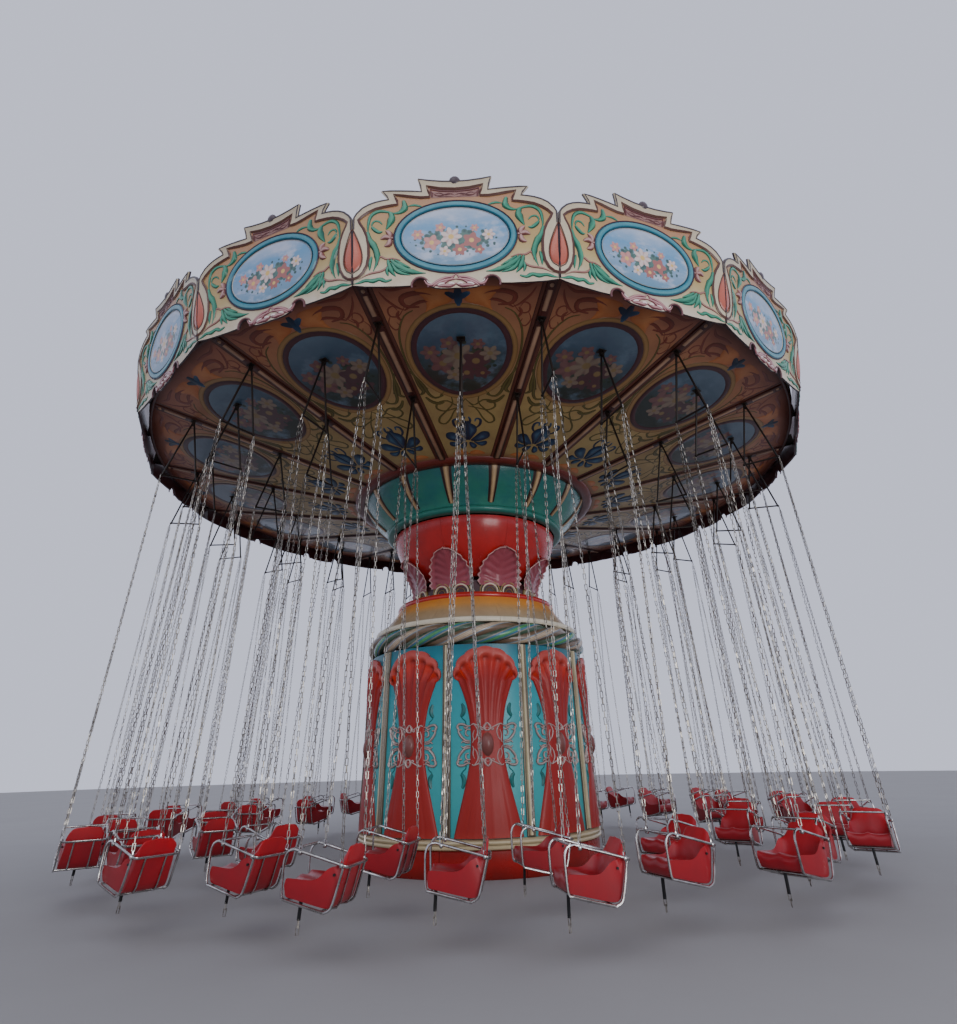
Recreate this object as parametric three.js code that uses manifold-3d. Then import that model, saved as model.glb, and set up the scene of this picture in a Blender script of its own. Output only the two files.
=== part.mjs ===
// Chair swing ride: a clad column with a telescoping mast, a sixteen-sided canopy that turns on it,
// and forty-eight chain-hung chairs in three rows. Millimetres, +Z up, origin on the floor at the axis.
// Angles run about the axis from the front (-Y) towards +X. A chair's own frame has its hanger pin at
// the origin, x outwards, y along the rim and z up; the rider faces -y.
import * as THREE from 'three';
import { mergeVertices } from 'three/addons/utils/BufferGeometryUtils.js';
import Module from 'manifold-3d';

const wasm = await Module();
wasm.setup();

// Driving dimensions
const GAP = 0.3; // between pieces that touch
const BITE = 50; // how far shapes that become one piece run into each other
const BAYS = 16; // panels of the canopy, one chair of each row to a bay
const BAY = 360 / BAYS; // degrees
const PILASTERS = 10;
const PILASTER_TURN = 5.6; // degrees from the front to the first pilaster
const LEAVES = 8;
const LEAF_TURN = 24; // degrees from the front to the first leaf
const ROUND_BASE = 30; // sides of the column's round pieces
const ROUND_MAST = 24; // sides of the mast and what it carries
const ROUND_CANOPY = 32; // sides of the canopy's round pieces

const PLINTH = { radius: 2080, step: 2130, stepFrom: 345, stepRise: 15, top: 480 };
const GUIDE = { outer: 985, inner: 905, top: 3900 }; // fixed guide tube of the mast
const COLUMN = { outer: 2060, inner: 2000, bed: 2020, top: 3200 };
const PILASTER_FACE = 2150;
const POLE = { radius: 58, sides: 6, short: 10 }; // short of the cladding at each end
const ROPE = { ring: 1970, section: 190, sides: 6 };
const CAP = { band: 2020, bandTop: 3670, coneFoot: 1925, rim: 1600, coneTop: 4100, top: 4210, round: 10 };
const CAP_PLATE = { wall: 40, clear: 20 }; // clear of the mast

const MAST = { outer: 900, inner: 820, top: 6000, flange: 1000, flangeDepth: 100, crown: 60 };
const NECK = { outer: 1250, wall: 40, top: 4500 };
// A leaf: its section as radius and height, and half of its outline from the front
const LEAF_RISE = [
  [1225, 4380], [1262, 4380], [1300, 4600], [1360, 4740], [1490, 4940], [1625, 5090],
  [1590, 5120], [1470, 4965], [1325, 4765], [1265, 4620], [1225, 4480],
];
const LEAF_OUTLINE = [[450, 4370], [450, 4600], [420, 4780], [380, 4880], [270, 5000], [0, 5130]];
const LEAF_WIDTH = 920;
const RED_BOWL = [[1160, 4600], [1450, 4970], [1650, 5300], [1740, 5560], [1745, 5655]];
const RED_BOWL_REACH = 2000; // past the bowl's lip
const BOWL_WALL = 28;

const CEILING = { inner: 2450, ring: 2650, outer: 6820, innerHeight: 6427, slope: 0.165, thick: 20 };
const CEILING_RING = { depth: 40, underBowl: 20 };
const BATTEN = { width: 110, depth: 30, outer: 6780, bed: 5, lap: 20 };
const BEAM = { width: 120, depth: 200 };
const HUB = { radius: 950, top: 6700, post: 300, postTop: 8500, bite: 100 };
const GREEN_BOWL = [[1765, 5672], [1915, 5672], [1932, 5852], [2130, 6000], [2290, 6170], [2400, 6330]];
const ROOF = { outer: 6900, lip: 40, thick: 20 };

const BOARD = { foot: 7000, footHeight: 6840, flare: 0.2273, bottom: 6890, top: 8550, thick: 32 };
// Half outline of a board's crest: distance from its middle line, height
const CREST = [
  [1450, 7930], [1414, 7945], [1290, 8105], [935, 8225],
  [1030, 8365], [475, 8340], [522, 8550], [0, 8490],
];
const SKY = { top: 8900, near: 6600, far: 7600 }; // what is cut away above the crests

const ROWS = [
  { name: 'outer', radius: 6100, shift: 0.5 },
  { name: 'middle', radius: 5670, shift: 0 },
  { name: 'inner', radius: 4470, shift: 0.5 },
];
const PIN = { drop: 70, radius: 12, span: 46 }; // drop below the ceiling
const CHEEK = { inner: 20, outer: 28, length: 50, foot: 24, web: 36, bed: 12 };
const EYE = { half: 22, foot: 34, width: 30 };
const HANGER = { drop: 1110, reach: 290, rod: 22, bar: 28, rise: 4 };
const CHAIN = { width: 16, top: 9, rearFoot: [1.5, 6], frontFoot: [1.3, -4] };
const SEAT_HEIGHT = 777; // of the middle of the side rails
const RAIL = { side: 250, tube: 24, bed: 3 };
const LAP_BAR = { along: -284, height: 34, tube: 24 };
// Along the seat and in height from the middle of the rail: outlines of the side frame and the bucket
const CHAIN_FEET = { front: [-198, 45], rear: [205, -45] };
const SIDE_FRAME = [[205, -69], [-268, 26], [-311, -290], [-338, -296], [-302, 50]];
const BUCKET = [[-318, -170], [-322, -292], [100, -372], [246, 10], [215, 30], [60, -205]];

const rad = THREE.MathUtils.degToRad;

// Height of the ceiling's underside at a radius, on the middle line of a facet
function ceilingHeight(radius) {
  return CEILING.innerHeight + CEILING.slope * (radius - CEILING.inner);
}

// Height of the ceiling's underside at a corner of its facets
function cornerHeight(radius) {
  return ceilingHeight(radius * Math.cos(Math.PI / ROUND_CANOPY));
}

// Height of the beams' underside
function beamHeight(radius) {
  return ceilingHeight(radius) + CEILING.thick + GAP;
}

// Radius of the boards' outer face at a height, along the joints
function boardRadius(height) {
  return BOARD.foot + BOARD.flare * (height - BOARD.footHeight);
}

// Closed solid from a geometry whose faces meet all round
function solid(geometry) {
  const bare = new THREE.BufferGeometry();
  bare.setAttribute('position', geometry.getAttribute('position').clone());
  if (geometry.index) {
    bare.setIndex(geometry.index.clone());
  }
  const merged = mergeVertices(bare, 1e-3);
  const triangles = [];
  const index = merged.index.array;
  for (let i = 0; i < index.length; i += 3) {
    const [a, b, c] = [index[i], index[i + 1], index[i + 2]];
    if (a !== b && b !== c && c !== a) {
      triangles.push(a, b, c);
    }
  }
  const vertProperties = new Float32Array(merged.getAttribute('position').array);
  const triVerts = new Uint32Array(triangles);
  return new wasm.Manifold(new wasm.Mesh({ numProp: 3, vertProperties, triVerts }));
}

// Geometry of a finished solid
function geometryOf(manifold) {
  const mesh = manifold.getMesh();
  const geometry = new THREE.BufferGeometry();
  const positions = new Float32Array(mesh.numVert * 3);
  for (let i = 0; i < mesh.numVert; i += 1) {
    positions.set(mesh.vertProperties.subarray(i * mesh.numProp, i * mesh.numProp + 3), i * 3);
  }
  geometry.setAttribute('position', new THREE.BufferAttribute(positions, 3));
  geometry.setIndex(new THREE.BufferAttribute(new Uint32Array(mesh.triVerts), 1));
  geometry.computeVertexNormals();
  return geometry;
}

function union(pieces) {
  return pieces.reduce((whole, piece) => whole.add(piece));
}

// Solid of revolution from a closed outline of [radius, height], drawn anticlockwise
function turned(outline, sides, startDegrees = 180 / sides) {
  const closed = [...outline, outline[0]].map(([x, y]) => new THREE.Vector2(x, y));
  const shape = new THREE.LatheGeometry(closed, sides, rad(startDegrees), Math.PI * 2);
  shape.rotateX(Math.PI / 2);
  return solid(shape);
}

function box(width, depth, height, x, y, z) {
  const shape = new THREE.BoxGeometry(width, depth, height);
  shape.translate(x, y, z);
  return solid(shape);
}

// Outline in the y-z plane drawn out along x, from one x to another
function plate(outline, fromX, toX, holes = []) {
  const points = outline.map(([y, z]) => new THREE.Vector2(y, z));
  const shape = new THREE.Shape(THREE.ShapeUtils.isClockWise(points) ? points.reverse() : points);
  shape.holes = holes.map((hole) => new THREE.Path(hole.map(([y, z]) => new THREE.Vector2(y, z))));
  const drawn = new THREE.ExtrudeGeometry(shape, { depth: toX - fromX, bevelEnabled: false });
  const turn = new THREE.Matrix4().makeBasis(
    new THREE.Vector3(0, 1, 0),
    new THREE.Vector3(0, 0, 1),
    new THREE.Vector3(1, 0, 0),
  );
  drawn.applyMatrix4(turn);
  drawn.translate(fromX, 0, 0);
  return solid(drawn);
}

// Moves a solid drawn with x outwards to an angle about the axis
function atAngle(piece, degrees, radius = 0, height = 0) {
  return piece.translate([radius, 0, height]).rotate([0, 0, degrees - 90]);
}

function mirrored(half) {
  const other = half.filter(([u]) => u > 0).map(([u, v]) => [-u, v]).reverse();
  return [...half, ...other];
}

// Base

function basePlinth() {
  const { radius, step, stepFrom, stepRise, top } = PLINTH;
  const { inner, outer } = GUIDE;
  const drum = [[0, 0], [radius, 0], [radius, stepFrom], [step, stepFrom + stepRise], [step, top], [0, top]];
  const guide = [[inner, top - BITE], [outer, top - BITE], [outer, GUIDE.top], [inner, GUIDE.top]];
  return turned(drum, ROUND_BASE).add(turned(guide, ROUND_MAST));
}

// Half outline of a pilaster: half width, height. A shell on a narrow waist and a spreading foot.
const PILASTER = [[540, 500], [255, 1720], [270, 2050], [530, 2780], [540, 2900], [400, 3100], [0, 3160]];

function pilaster() {
  return plate(mirrored(PILASTER), COLUMN.outer - 3 * BITE, PILASTER_FACE + BITE);
}

function columnCladding() {
  const bottom = PLINTH.top + GAP;
  const top = COLUMN.top - GAP;
  const ring = (inner, outer) => {
    const outline = [[inner, bottom], [outer, bottom], [outer, top], [inner, top]];
    return turned(outline, ROUND_BASE);
  };
  const wall = ring(COLUMN.inner, COLUMN.outer);
  const relief = ring(COLUMN.bed, PILASTER_FACE);
  const cutters = [];
  const poles = [];
  for (let i = 0; i < PILASTERS; i += 1) {
    const degrees = PILASTER_TURN + (i * 360) / PILASTERS;
    cutters.push(atAngle(pilaster(), degrees));
    const height = top - bottom - 2 * POLE.short;
    const pole = new THREE.CylinderGeometry(POLE.radius, POLE.radius, height, POLE.sides);
    pole.rotateX(Math.PI / 2);
    poles.push(atAngle(solid(pole), degrees + 180 / PILASTERS, COLUMN.outer, (top + bottom) / 2));
  }
  const pilasters = relief.intersect(union(cutters));
  return wall.add(pilasters).add(union(poles));
}

function ropeMoulding() {
  const outline = [];
  const { ring, section, sides } = ROPE;
  const middle = COLUMN.top + section;
  const corner = section / Math.cos(Math.PI / sides);
  for (let i = 0; i < sides; i += 1) {
    const angle = (i / sides) * Math.PI * 2;
    outline.push([ring + corner * Math.cos(angle), middle + corner * Math.sin(angle)]);
  }
  return turned(outline, ROUND_BASE);
}

function steppedCap() {
  const foot = COLUMN.top + 2 * ROPE.section + GAP;
  const { band, bandTop, coneFoot, rim, coneTop, top, round } = CAP;
  const { wall, clear } = CAP_PLATE;
  const hole = MAST.outer + clear;
  return turned([
    [coneFoot - wall, foot], [band, foot], [band, bandTop], [coneFoot, bandTop + round],
    [rim, coneTop], [rim - round, top], [hole, top], [hole, top - wall],
    [rim - wall, top - wall], [coneFoot - wall, bandTop - round],
  ], ROUND_BASE);
}

// Mast, neck and red bowl

function liftMast() {
  const foot = PLINTH.top + GAP;
  const { outer, inner, top, flange, flangeDepth, crown } = MAST;
  return turned([
    [inner, foot], [outer, foot], [outer, top - flangeDepth], [flange, top - flangeDepth],
    [flange, top], [0, top], [0, top - crown], [inner, top - crown],
  ], ROUND_MAST);
}

// One leaf, rising from the neck and curling outwards
function leaf() {
  const curved = plate(LEAF_RISE, -LEAF_WIDTH / 2, LEAF_WIDTH / 2).rotate([0, 0, -90]);
  return curved.intersect(plate(mirrored(LEAF_OUTLINE), MAST.outer, RED_BOWL_REACH));
}

function leafCollar() {
  const foot = CAP.top + GAP;
  const { outer, wall, top } = NECK;
  const hole = MAST.outer + GAP;
  const neck = turned([
    [hole, foot], [outer, foot], [outer, top], [outer - wall, top],
    [outer - wall, foot + wall], [hole, foot + wall],
  ], ROUND_MAST);
  const leaves = [];
  for (let i = 0; i < LEAVES; i += 1) {
    leaves.push(atAngle(leaf(), LEAF_TURN + (i * 360) / LEAVES));
  }
  return neck.add(union(leaves));
}

function redBowl() {
  const [foot, ...sides] = RED_BOWL;
  const inner = [sides[3], sides[1]].map(([r, z]) => [r - BOWL_WALL, z]);
  const boss = [[MAST.outer + GAP, foot[1] + BOWL_WALL], [MAST.outer + GAP, foot[1]]];
  return turned([foot, ...sides, ...inner, [foot[0] - BOWL_WALL, foot[1] + BOWL_WALL], ...boss], ROUND_MAST);
}

// Canopy

function greenBowl() {
  const lip = CEILING.inner - GAP;
  const lipTop = cornerHeight(lip - BOWL_WALL) + CEILING.thick;
  const outer = [...GREEN_BOWL, [lip, CEILING.innerHeight - CEILING_RING.underBowl], [lip, lipTop]];
  const inner = [outer[7], outer[5], outer[3]].map(([r, z]) => [r - BOWL_WALL, z]);
  return turned([...outer, ...inner, [GREEN_BOWL[0][0], GREEN_BOWL[0][1] + BOWL_WALL]], ROUND_CANOPY);
}

// Fork under the ceiling that holds a chair's pin, about the pin
function hangerFork() {
  const { inner, outer, length, foot, web, bed } = CHEEK;
  const top = PIN.drop + bed;
  const outline = mirrored([[outer, top], [outer, -foot], [inner, -foot], [inner, web]]);
  const fork = plate(outline, -length / 2, length / 2);
  const pin = solid(new THREE.CylinderGeometry(PIN.radius, PIN.radius, PIN.span, 4));
  return fork.add(pin);
}

function ceiling() {
  const { inner, ring, outer, thick, slope } = CEILING;
  const { depth } = CEILING_RING;
  const under = ceilingHeight;
  const corner = cornerHeight;
  const sheet = turned([
    [inner, corner(inner) - depth], [ring, corner(ring) - depth], [ring, corner(ring)],
    [outer, corner(outer)], [outer, corner(outer) + thick], [inner, corner(inner) + thick],
  ], ROUND_CANOPY);
  const battens = [];
  const run = BATTEN.outer - ring + BATTEN.lap;
  const middle = BATTEN.outer - run / 2;
  for (let i = 0; i < BAYS; i += 1) {
    const batten = box(run, BATTEN.width, BATTEN.depth, 0, 0, BATTEN.bed - BATTEN.depth / 2);
    const tilted = batten.rotate([0, -THREE.MathUtils.radToDeg(Math.atan(slope)), 0]);
    battens.push(atAngle(tilted, (i + 0.5) * BAY, middle, under(middle)));
  }
  const forks = ROWS.flatMap(({ radius, shift }) => {
    const angles = Array.from({ length: BAYS }, (_, i) => (i + shift) * BAY);
    return angles.map((degrees) => atAngle(hangerFork(), degrees, radius, under(radius) - PIN.drop));
  });
  return sheet.add(union(battens)).add(union(forks));
}

// Radius at which a beam meets the boards: at a joint the cosine is 1 and the offset is what the
// boards draw in over half the beam's width, and in the middle of a board the cosine is the board's
function beamReach(cosine, offset) {
  const atAxis = boardRadius(beamHeight(0)) - BOARD.thick;
  return (cosine * atAxis - offset - GAP) / (1 - cosine * BOARD.flare * CEILING.slope);
}

// Radial beam above the ceiling, from the hub to a radius
function beam(outerRadius) {
  const innerRadius = HUB.radius - HUB.bite;
  const outline = [innerRadius, outerRadius].map((radius) => [radius, beamHeight(radius)]);
  const upper = [...outline].reverse().map(([r, z]) => [r, z + BEAM.depth]);
  return plate([...outline, ...upper], -BEAM.width / 2, BEAM.width / 2).rotate([0, 0, -90]);
}

function canopyFrame() {
  const { radius, top, post, postTop } = HUB;
  const foot = MAST.top + GAP;
  const outline = [[0, foot], [radius, foot], [radius, top], [post, top], [post, postTop], [0, postTop]];
  const pieces = [turned(outline, ROUND_CANOPY)];
  const longBeam = beamReach(1, (BEAM.width / 2) * Math.tan(rad(BAY / 2)));
  const shortBeam = beamReach(Math.cos(rad(BAY / 2)), 0);
  for (let i = 0; i < BAYS; i += 1) {
    pieces.push(atAngle(beam(longBeam), (i + 0.5) * BAY));
    pieces.push(atAngle(beam(shortBeam), i * BAY));
  }
  return union(pieces);
}

function canopyRoof() {
  const { outer, lip, thick } = ROOF;
  const foot = beamHeight(outer) + BEAM.depth + GAP;
  const crown = HUB.postTop + GAP;
  const flat = HUB.post + 2 * thick;
  return turned([
    [outer - lip, foot], [outer, foot], [outer, foot + lip], [flat, crown + thick],
    [0, crown + thick], [0, crown], [flat, crown], [outer - lip, foot + lip - thick],
  ], ROUND_CANOPY);
}

function roundingBoards() {
  const { bottom, top, thick } = BOARD;
  const [low, high] = [bottom, top].map(boardRadius);
  const wall = [[low - thick, bottom], [low, bottom], [high, top], [high - thick, top]];
  const ring = turned(wall, BAYS, BAY / 2);
  const [reach] = CREST[0];
  const sky = [...mirrored(CREST), [-reach, SKY.top], [reach, SKY.top]];
  const cutter = plate(sky, SKY.near, SKY.far);
  const cutters = Array.from({ length: BAYS }, (_, i) => atAngle(cutter, i * BAY));
  return cutters.reduce((rest, piece) => rest.subtract(piece), ring);
}

// Chairs

// Triangular hanger of a chair: eye, two rods and the spreader that the chains hang from
function hanger() {
  const { half, foot } = EYE;
  const { drop, reach, rod, bar, rise } = HANGER;
  const hole = PIN.radius + GAP;
  const outer = mirrored([[half, half], [half, -foot], [reach, bar / 2 - drop], [reach, -bar / 2 - drop]]);
  const barTop = bar / 2 - drop + rise;
  const between = [[0, -foot - 2 * rod], [reach - 2 * rod, barTop], [2 * rod - reach, barTop]];
  const eyeHole = [[-hole, -hole], [hole, -hole], [hole, hole], [-hole, hole]];
  const triangle = plate(outer, -EYE.width / 2, EYE.width / 2, [between]);
  return triangle.subtract(plate(eyeHole, -EYE.width, EYE.width)).rotate([0, 0, -90]);
}

// Two chains of one side, with the rail and front post that they carry
function chainSide(middle, railDrop) {
  const top = -HANGER.drop;
  const { front, rear } = CHAIN_FEET;
  const { width, rearFoot, frontFoot } = CHAIN;
  const low = ([y, z]) => [y, z - railDrop];
  const outline = [[-CHAIN.top, top], [CHAIN.top, top], low(rear), ...SIDE_FRAME.map(low), low(front)];
  const inner = (2 * width * (railDrop - HANGER.drop)) / (rear[0] - front[0]);
  const between = [
    [0, top - inner],
    low([rear[0] - rearFoot[0] * width, rear[1] + rearFoot[1]]),
    low([front[0] + frontFoot[0] * width, front[1] + frontFoot[1]]),
  ];
  return plate(outline, middle - RAIL.tube / 2, middle + RAIL.tube / 2, [between]);
}

// One chair about its pin
function chair(radius) {
  const railDrop = ceilingHeight(radius) - PIN.drop - SEAT_HEIGHT;
  const bucket = BUCKET.map(([y, z]) => [y, z - railDrop]);
  const reach = RAIL.side - RAIL.tube / 2 + RAIL.bed;
  const sides = [-RAIL.side, RAIL.side].map((middle) => chainSide(middle, railDrop));
  const lapBar = box(2 * reach, LAP_BAR.tube, LAP_BAR.tube, 0, LAP_BAR.along, LAP_BAR.height - railDrop);
  return union([hanger(), ...sides, plate(bucket, -reach, reach), lapBar]);
}

// Materials

function paint(color, roughness, metalness = 0) {
  return new THREE.MeshStandardMaterial({ color, roughness, metalness });
}

const finishes = {
  red: paint(0xb3191d, 0.35),
  turquoise: paint(0x2fa3ad, 0.4),
  rope: paint(0x7a8a6a, 0.4),
  tan: paint(0xb08a5a, 0.45),
  steel: paint(0x3a3432, 0.5, 0.3),
  leaf: paint(0x7a2c3a, 0.35),
  green: paint(0x17564f, 0.25),
  ceiling: paint(0x9a5a2c, 0.5),
  boards: paint(0xe6dcc6, 0.45),
  roof: paint(0xd8d2c4, 0.6),
  chair: paint(0xa3161c, 0.35, 0.1),
};

const ride = new THREE.Group();

function addNode(parent, name, shape, material) {
  const mesh = new THREE.Mesh(shape.isBufferGeometry ? shape : geometryOf(shape), material.clone());
  mesh.name = name;
  parent.add(mesh);
  return mesh;
}

addNode(ride, 'base_plinth', basePlinth(), finishes.red);
addNode(ride, 'column_cladding', columnCladding(), finishes.turquoise);
addNode(ride, 'rope_moulding', ropeMoulding(), finishes.rope);
addNode(ride, 'stepped_cap', steppedCap(), finishes.tan);

const lift = new THREE.Group();
ride.add(lift);
addNode(lift, 'lift_mast', liftMast(), finishes.steel);
addNode(lift, 'leaf_collar', leafCollar(), finishes.leaf);
addNode(lift, 'red_bowl', redBowl(), finishes.red);

const canopy = new THREE.Group();
lift.add(canopy);
addNode(canopy, 'green_bowl', greenBowl(), finishes.green);
addNode(canopy, 'ceiling', ceiling(), finishes.ceiling);
addNode(canopy, 'canopy_frame', canopyFrame(), finishes.steel);
addNode(canopy, 'rounding_boards', roundingBoards(), finishes.boards);
addNode(canopy, 'canopy_roof', canopyRoof(), finishes.roof);

ROWS.forEach(({ name, radius, shift }) => {
  const geometry = geometryOf(chair(radius));
  for (let i = 0; i < BAYS; i += 1) {
    const place = new THREE.Group();
    place.rotation.z = rad((i + shift) * BAY - 90);
    canopy.add(place);
    const number = String(i + 1).padStart(2, '0');
    const mesh = addNode(place, `${name}_chair_${number}`, geometry, finishes.chair);
    mesh.position.set(radius, 0, ceilingHeight(radius) - PIN.drop);
  }
});

export default ride;
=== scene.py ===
"""Chair swing ride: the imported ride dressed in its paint, ornament, chains and chairs.

Metres, +Z up, the mast's axis at the origin. Angles are degrees about the axis, from the front (-Y)
towards +X. A bay's own frame has x outwards, y along the rim and z up. Relief is drawn flat, with u
across, v up and w proud of its ground, and is then laid on the column, the boards or the ceiling.
"""

import functools
import logging
import math
from collections.abc import Callable, Iterable, Sequence
from dataclasses import dataclass, field
from enum import Enum
from typing import Any

import bmesh
import bpy
from mathutils import Matrix, Vector


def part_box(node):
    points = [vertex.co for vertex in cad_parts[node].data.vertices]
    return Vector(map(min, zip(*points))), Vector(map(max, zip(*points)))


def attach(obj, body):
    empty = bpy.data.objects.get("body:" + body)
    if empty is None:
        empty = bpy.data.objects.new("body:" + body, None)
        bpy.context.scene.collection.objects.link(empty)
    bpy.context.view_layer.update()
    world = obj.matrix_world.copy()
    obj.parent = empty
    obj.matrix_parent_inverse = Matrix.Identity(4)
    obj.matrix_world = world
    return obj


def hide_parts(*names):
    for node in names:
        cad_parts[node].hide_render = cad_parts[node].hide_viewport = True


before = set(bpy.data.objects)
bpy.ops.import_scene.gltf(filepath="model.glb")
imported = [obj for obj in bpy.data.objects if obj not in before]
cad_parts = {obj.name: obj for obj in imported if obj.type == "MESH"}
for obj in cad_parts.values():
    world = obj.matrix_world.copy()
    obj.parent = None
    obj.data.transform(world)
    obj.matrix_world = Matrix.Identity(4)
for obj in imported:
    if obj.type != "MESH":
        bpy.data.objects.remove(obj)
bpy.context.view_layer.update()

log = logging.getLogger("ride")
Points = Sequence[Sequence[float]]
Outline = tuple[tuple[float, float], ...]
Tones = tuple[tuple[float, str], ...]

BAYS = 16
BAY = 360 / BAYS


def rgb(code: str) -> tuple[float, float, float, float]:
    """Gives the linear colour of a six-figure sRGB code."""
    parts = [int(code[i : i + 2], 16) / 255 for i in (0, 2, 4)]
    linear = [c / 12.92 if c <= 0.04045 else ((c + 0.055) / 1.055) ** 2.4 for c in parts]
    return (*linear, 1.0)


def evenly(*codes: str) -> Tones:
    """Gives tones at even steps from 0 to 1."""
    return tuple((k / (len(codes) - 1), code) for k, code in enumerate(codes))


def turn(degrees: float) -> Matrix:
    """Gives the turn that sets a bay's own frame at an angle about the axis."""
    return Matrix.Rotation(math.radians(degrees - 90), 4, "Z")


def between(value: float, table: Points) -> float:
    """Reads a table of (place, amount) pairs, with straight lines between them.

    Args:
        value: the place to read at.
        table: pairs in rising order of place.

    Returns:
        The amount there, held level past both ends.
    """
    if value <= table[0][0]:
        return table[0][1]
    for (x0, y0), (x1, y1) in zip(table, table[1:]):
        if value <= x1:
            share = (value - x0) / (x1 - x0)
            return y0 + (y1 - y0) * share
    return table[-1][1]


def curve(points: Points, steps: int = 5, closed: bool = False) -> list[Vector]:
    """Draws a smooth curve through the given points.

    Args:
        points: the points, flat or in space.
        steps: parts that each stretch is cut into.
        closed: whether the curve runs back to its start.

    Returns:
        The points of the curve.
    """
    knots = [Vector(p).to_3d() for p in points]
    count = len(knots)
    made = []
    for i in range(count if closed else count - 1):
        if closed:
            a, b, c, d = (knots[(i + k) % count] for k in (-1, 0, 1, 2))
        else:
            a, b, c, d = (knots[min(max(i + k, 0), count - 1)] for k in (-1, 0, 1, 2))
        for k in range(steps):
            t = k / steps
            blend = 2 * b + (c - a) * t + (2 * a - 5 * b + 4 * c - d) * t**2
            made.append(0.5 * (blend + (3 * b - a - 3 * c + d) * t**3))
    return made if closed else [*made, knots[-1]]


def arc(
        middle: Sequence[float], across: float, high: float, step: float,
        turns: Iterable[int]) -> list[tuple[float, float]]:
    """Gives points of an oval of the given half sizes.

    Args:
        middle: the oval's middle.
        across: half its width.
        high: half its height.
        step: degrees from point to point.
        turns: the steps at which points are wanted.

    Returns:
        The points.
    """
    angles = [math.radians(step * k) for k in turns]
    return [(middle[0] + across * math.cos(a), middle[1] + high * math.sin(a)) for a in angles]


def oval(
        across: float, high: float, middle: Sequence[float] = (0.0, 0.0),
        steps: int = 48) -> list[tuple[float, float]]:
    """Gives the points of a whole oval of the given half sizes about its middle."""
    return arc(middle, across, high, 360 / steps, range(steps))


def shifted(points: Points, distance: float) -> list[tuple[float, float]]:
    """Moves an open flat line to its left, mitred at its corners.

    Args:
        points: the line's points.
        distance: how far it moves.

    Returns:
        The moved points.
    """
    line = [Vector(p[:2]) for p in points]
    made = []
    for i, point in enumerate(line):
        runs = [(b - a).normalized() for a, b in zip(line[max(i - 1, 0) : i + 1], line[max(i, 1) : i + 2])]
        runs = [run for run in runs if run.length] or [(line[i] - line[i - 1]).normalized()]
        sides = [Vector((-run.y, run.x)) for run in runs]
        middle = sum(sides, Vector((0, 0))).normalized()
        made.append(tuple(point + middle * (distance / max(middle.dot(sides[0]), 0.45))))
    return made


def swelling(wide: float, ends: float = 0.3) -> Callable[[float], float]:
    """Gives the width along a stroke that swells to its middle."""
    def width(share: float) -> float:
        """Gives the width at a share of the way."""
        return wide * (ends + (1 - ends) * math.sin(math.pi * share))
    return width


def petal_width(wide: float) -> Callable[[float], float]:
    """Gives the width along a petal, with narrow ends."""
    def width(share: float) -> float:
        """Gives the width at a share of the way."""
        return wide * (0.2 + 0.8 * math.sin(math.pi * (0.12 + 0.8 * share)))
    return width


def blade_width(wide: float, lobes: int = 0) -> Callable[[float], float]:
    """Gives the width along a leaf blade, drawn in between its lobes."""
    def width(share: float) -> float:
        """Gives the width at a share of the way."""
        body = 0.12 + 0.88 * math.sin(math.pi * min(0.06 + share, 1.0)) ** 0.8
        return wide * body * (1 - 0.22 * abs(math.sin(lobes * math.pi * share)))
    return width


def flipped(points: Points) -> list[tuple[float, ...]]:
    """Gives the points on the other side of the middle line, in their order."""
    return [(-p[0], *p[1:]) for p in points]


def polygon(sides: int) -> tuple[tuple[float, float, float], ...]:
    """Gives a round section of so many sides, with the share of the way round."""
    turns = [(2 * math.pi * k / sides, k / sides) for k in range(sides)]
    return tuple((math.cos(a), math.sin(a), share) for a, share in turns)


def placed(x: Vector, y: Vector, z: Vector, origin: Vector) -> Matrix:
    """Gives the place with these own axes and origin."""
    made = Matrix.Identity(4)
    for column, axis in enumerate((x, y, z, origin)):
        made.col[column][:3] = axis
    return made


def ways(path: Sequence[Vector], closed: bool = False) -> list[tuple[Vector, Vector]]:
    """Gives each point of a path with the way that the path runs there."""
    last = len(path) - 1
    made = []
    for i, point in enumerate(path):
        before = path[i - 1] if i or closed else point
        after = path[(i + 1) % len(path)] if i < last or closed else point
        made.append((point, (after - before).normalized()))
    return made


class Section(Enum):
    """Cross sections of strokes and tubes: across, proud, and the share of the way across."""

    RIDGE = ((-0.5, -0.3, 0.0), (0.0, 1.0, 0.5), (0.5, -0.3, 1.0))
    ROUND = ((-0.5, -0.3, 0.0), (-0.27, 0.85, 0.23), (0.27, 0.85, 0.77), (0.5, -0.3, 1.0))
    FLAT = ((-0.5, -0.3, 0.0), (-0.46, 0.9, 0.06), (0.46, 0.9, 0.94), (0.5, -0.3, 1.0))
    TUBE = polygon(6)
    WIRE = polygon(3)


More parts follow.
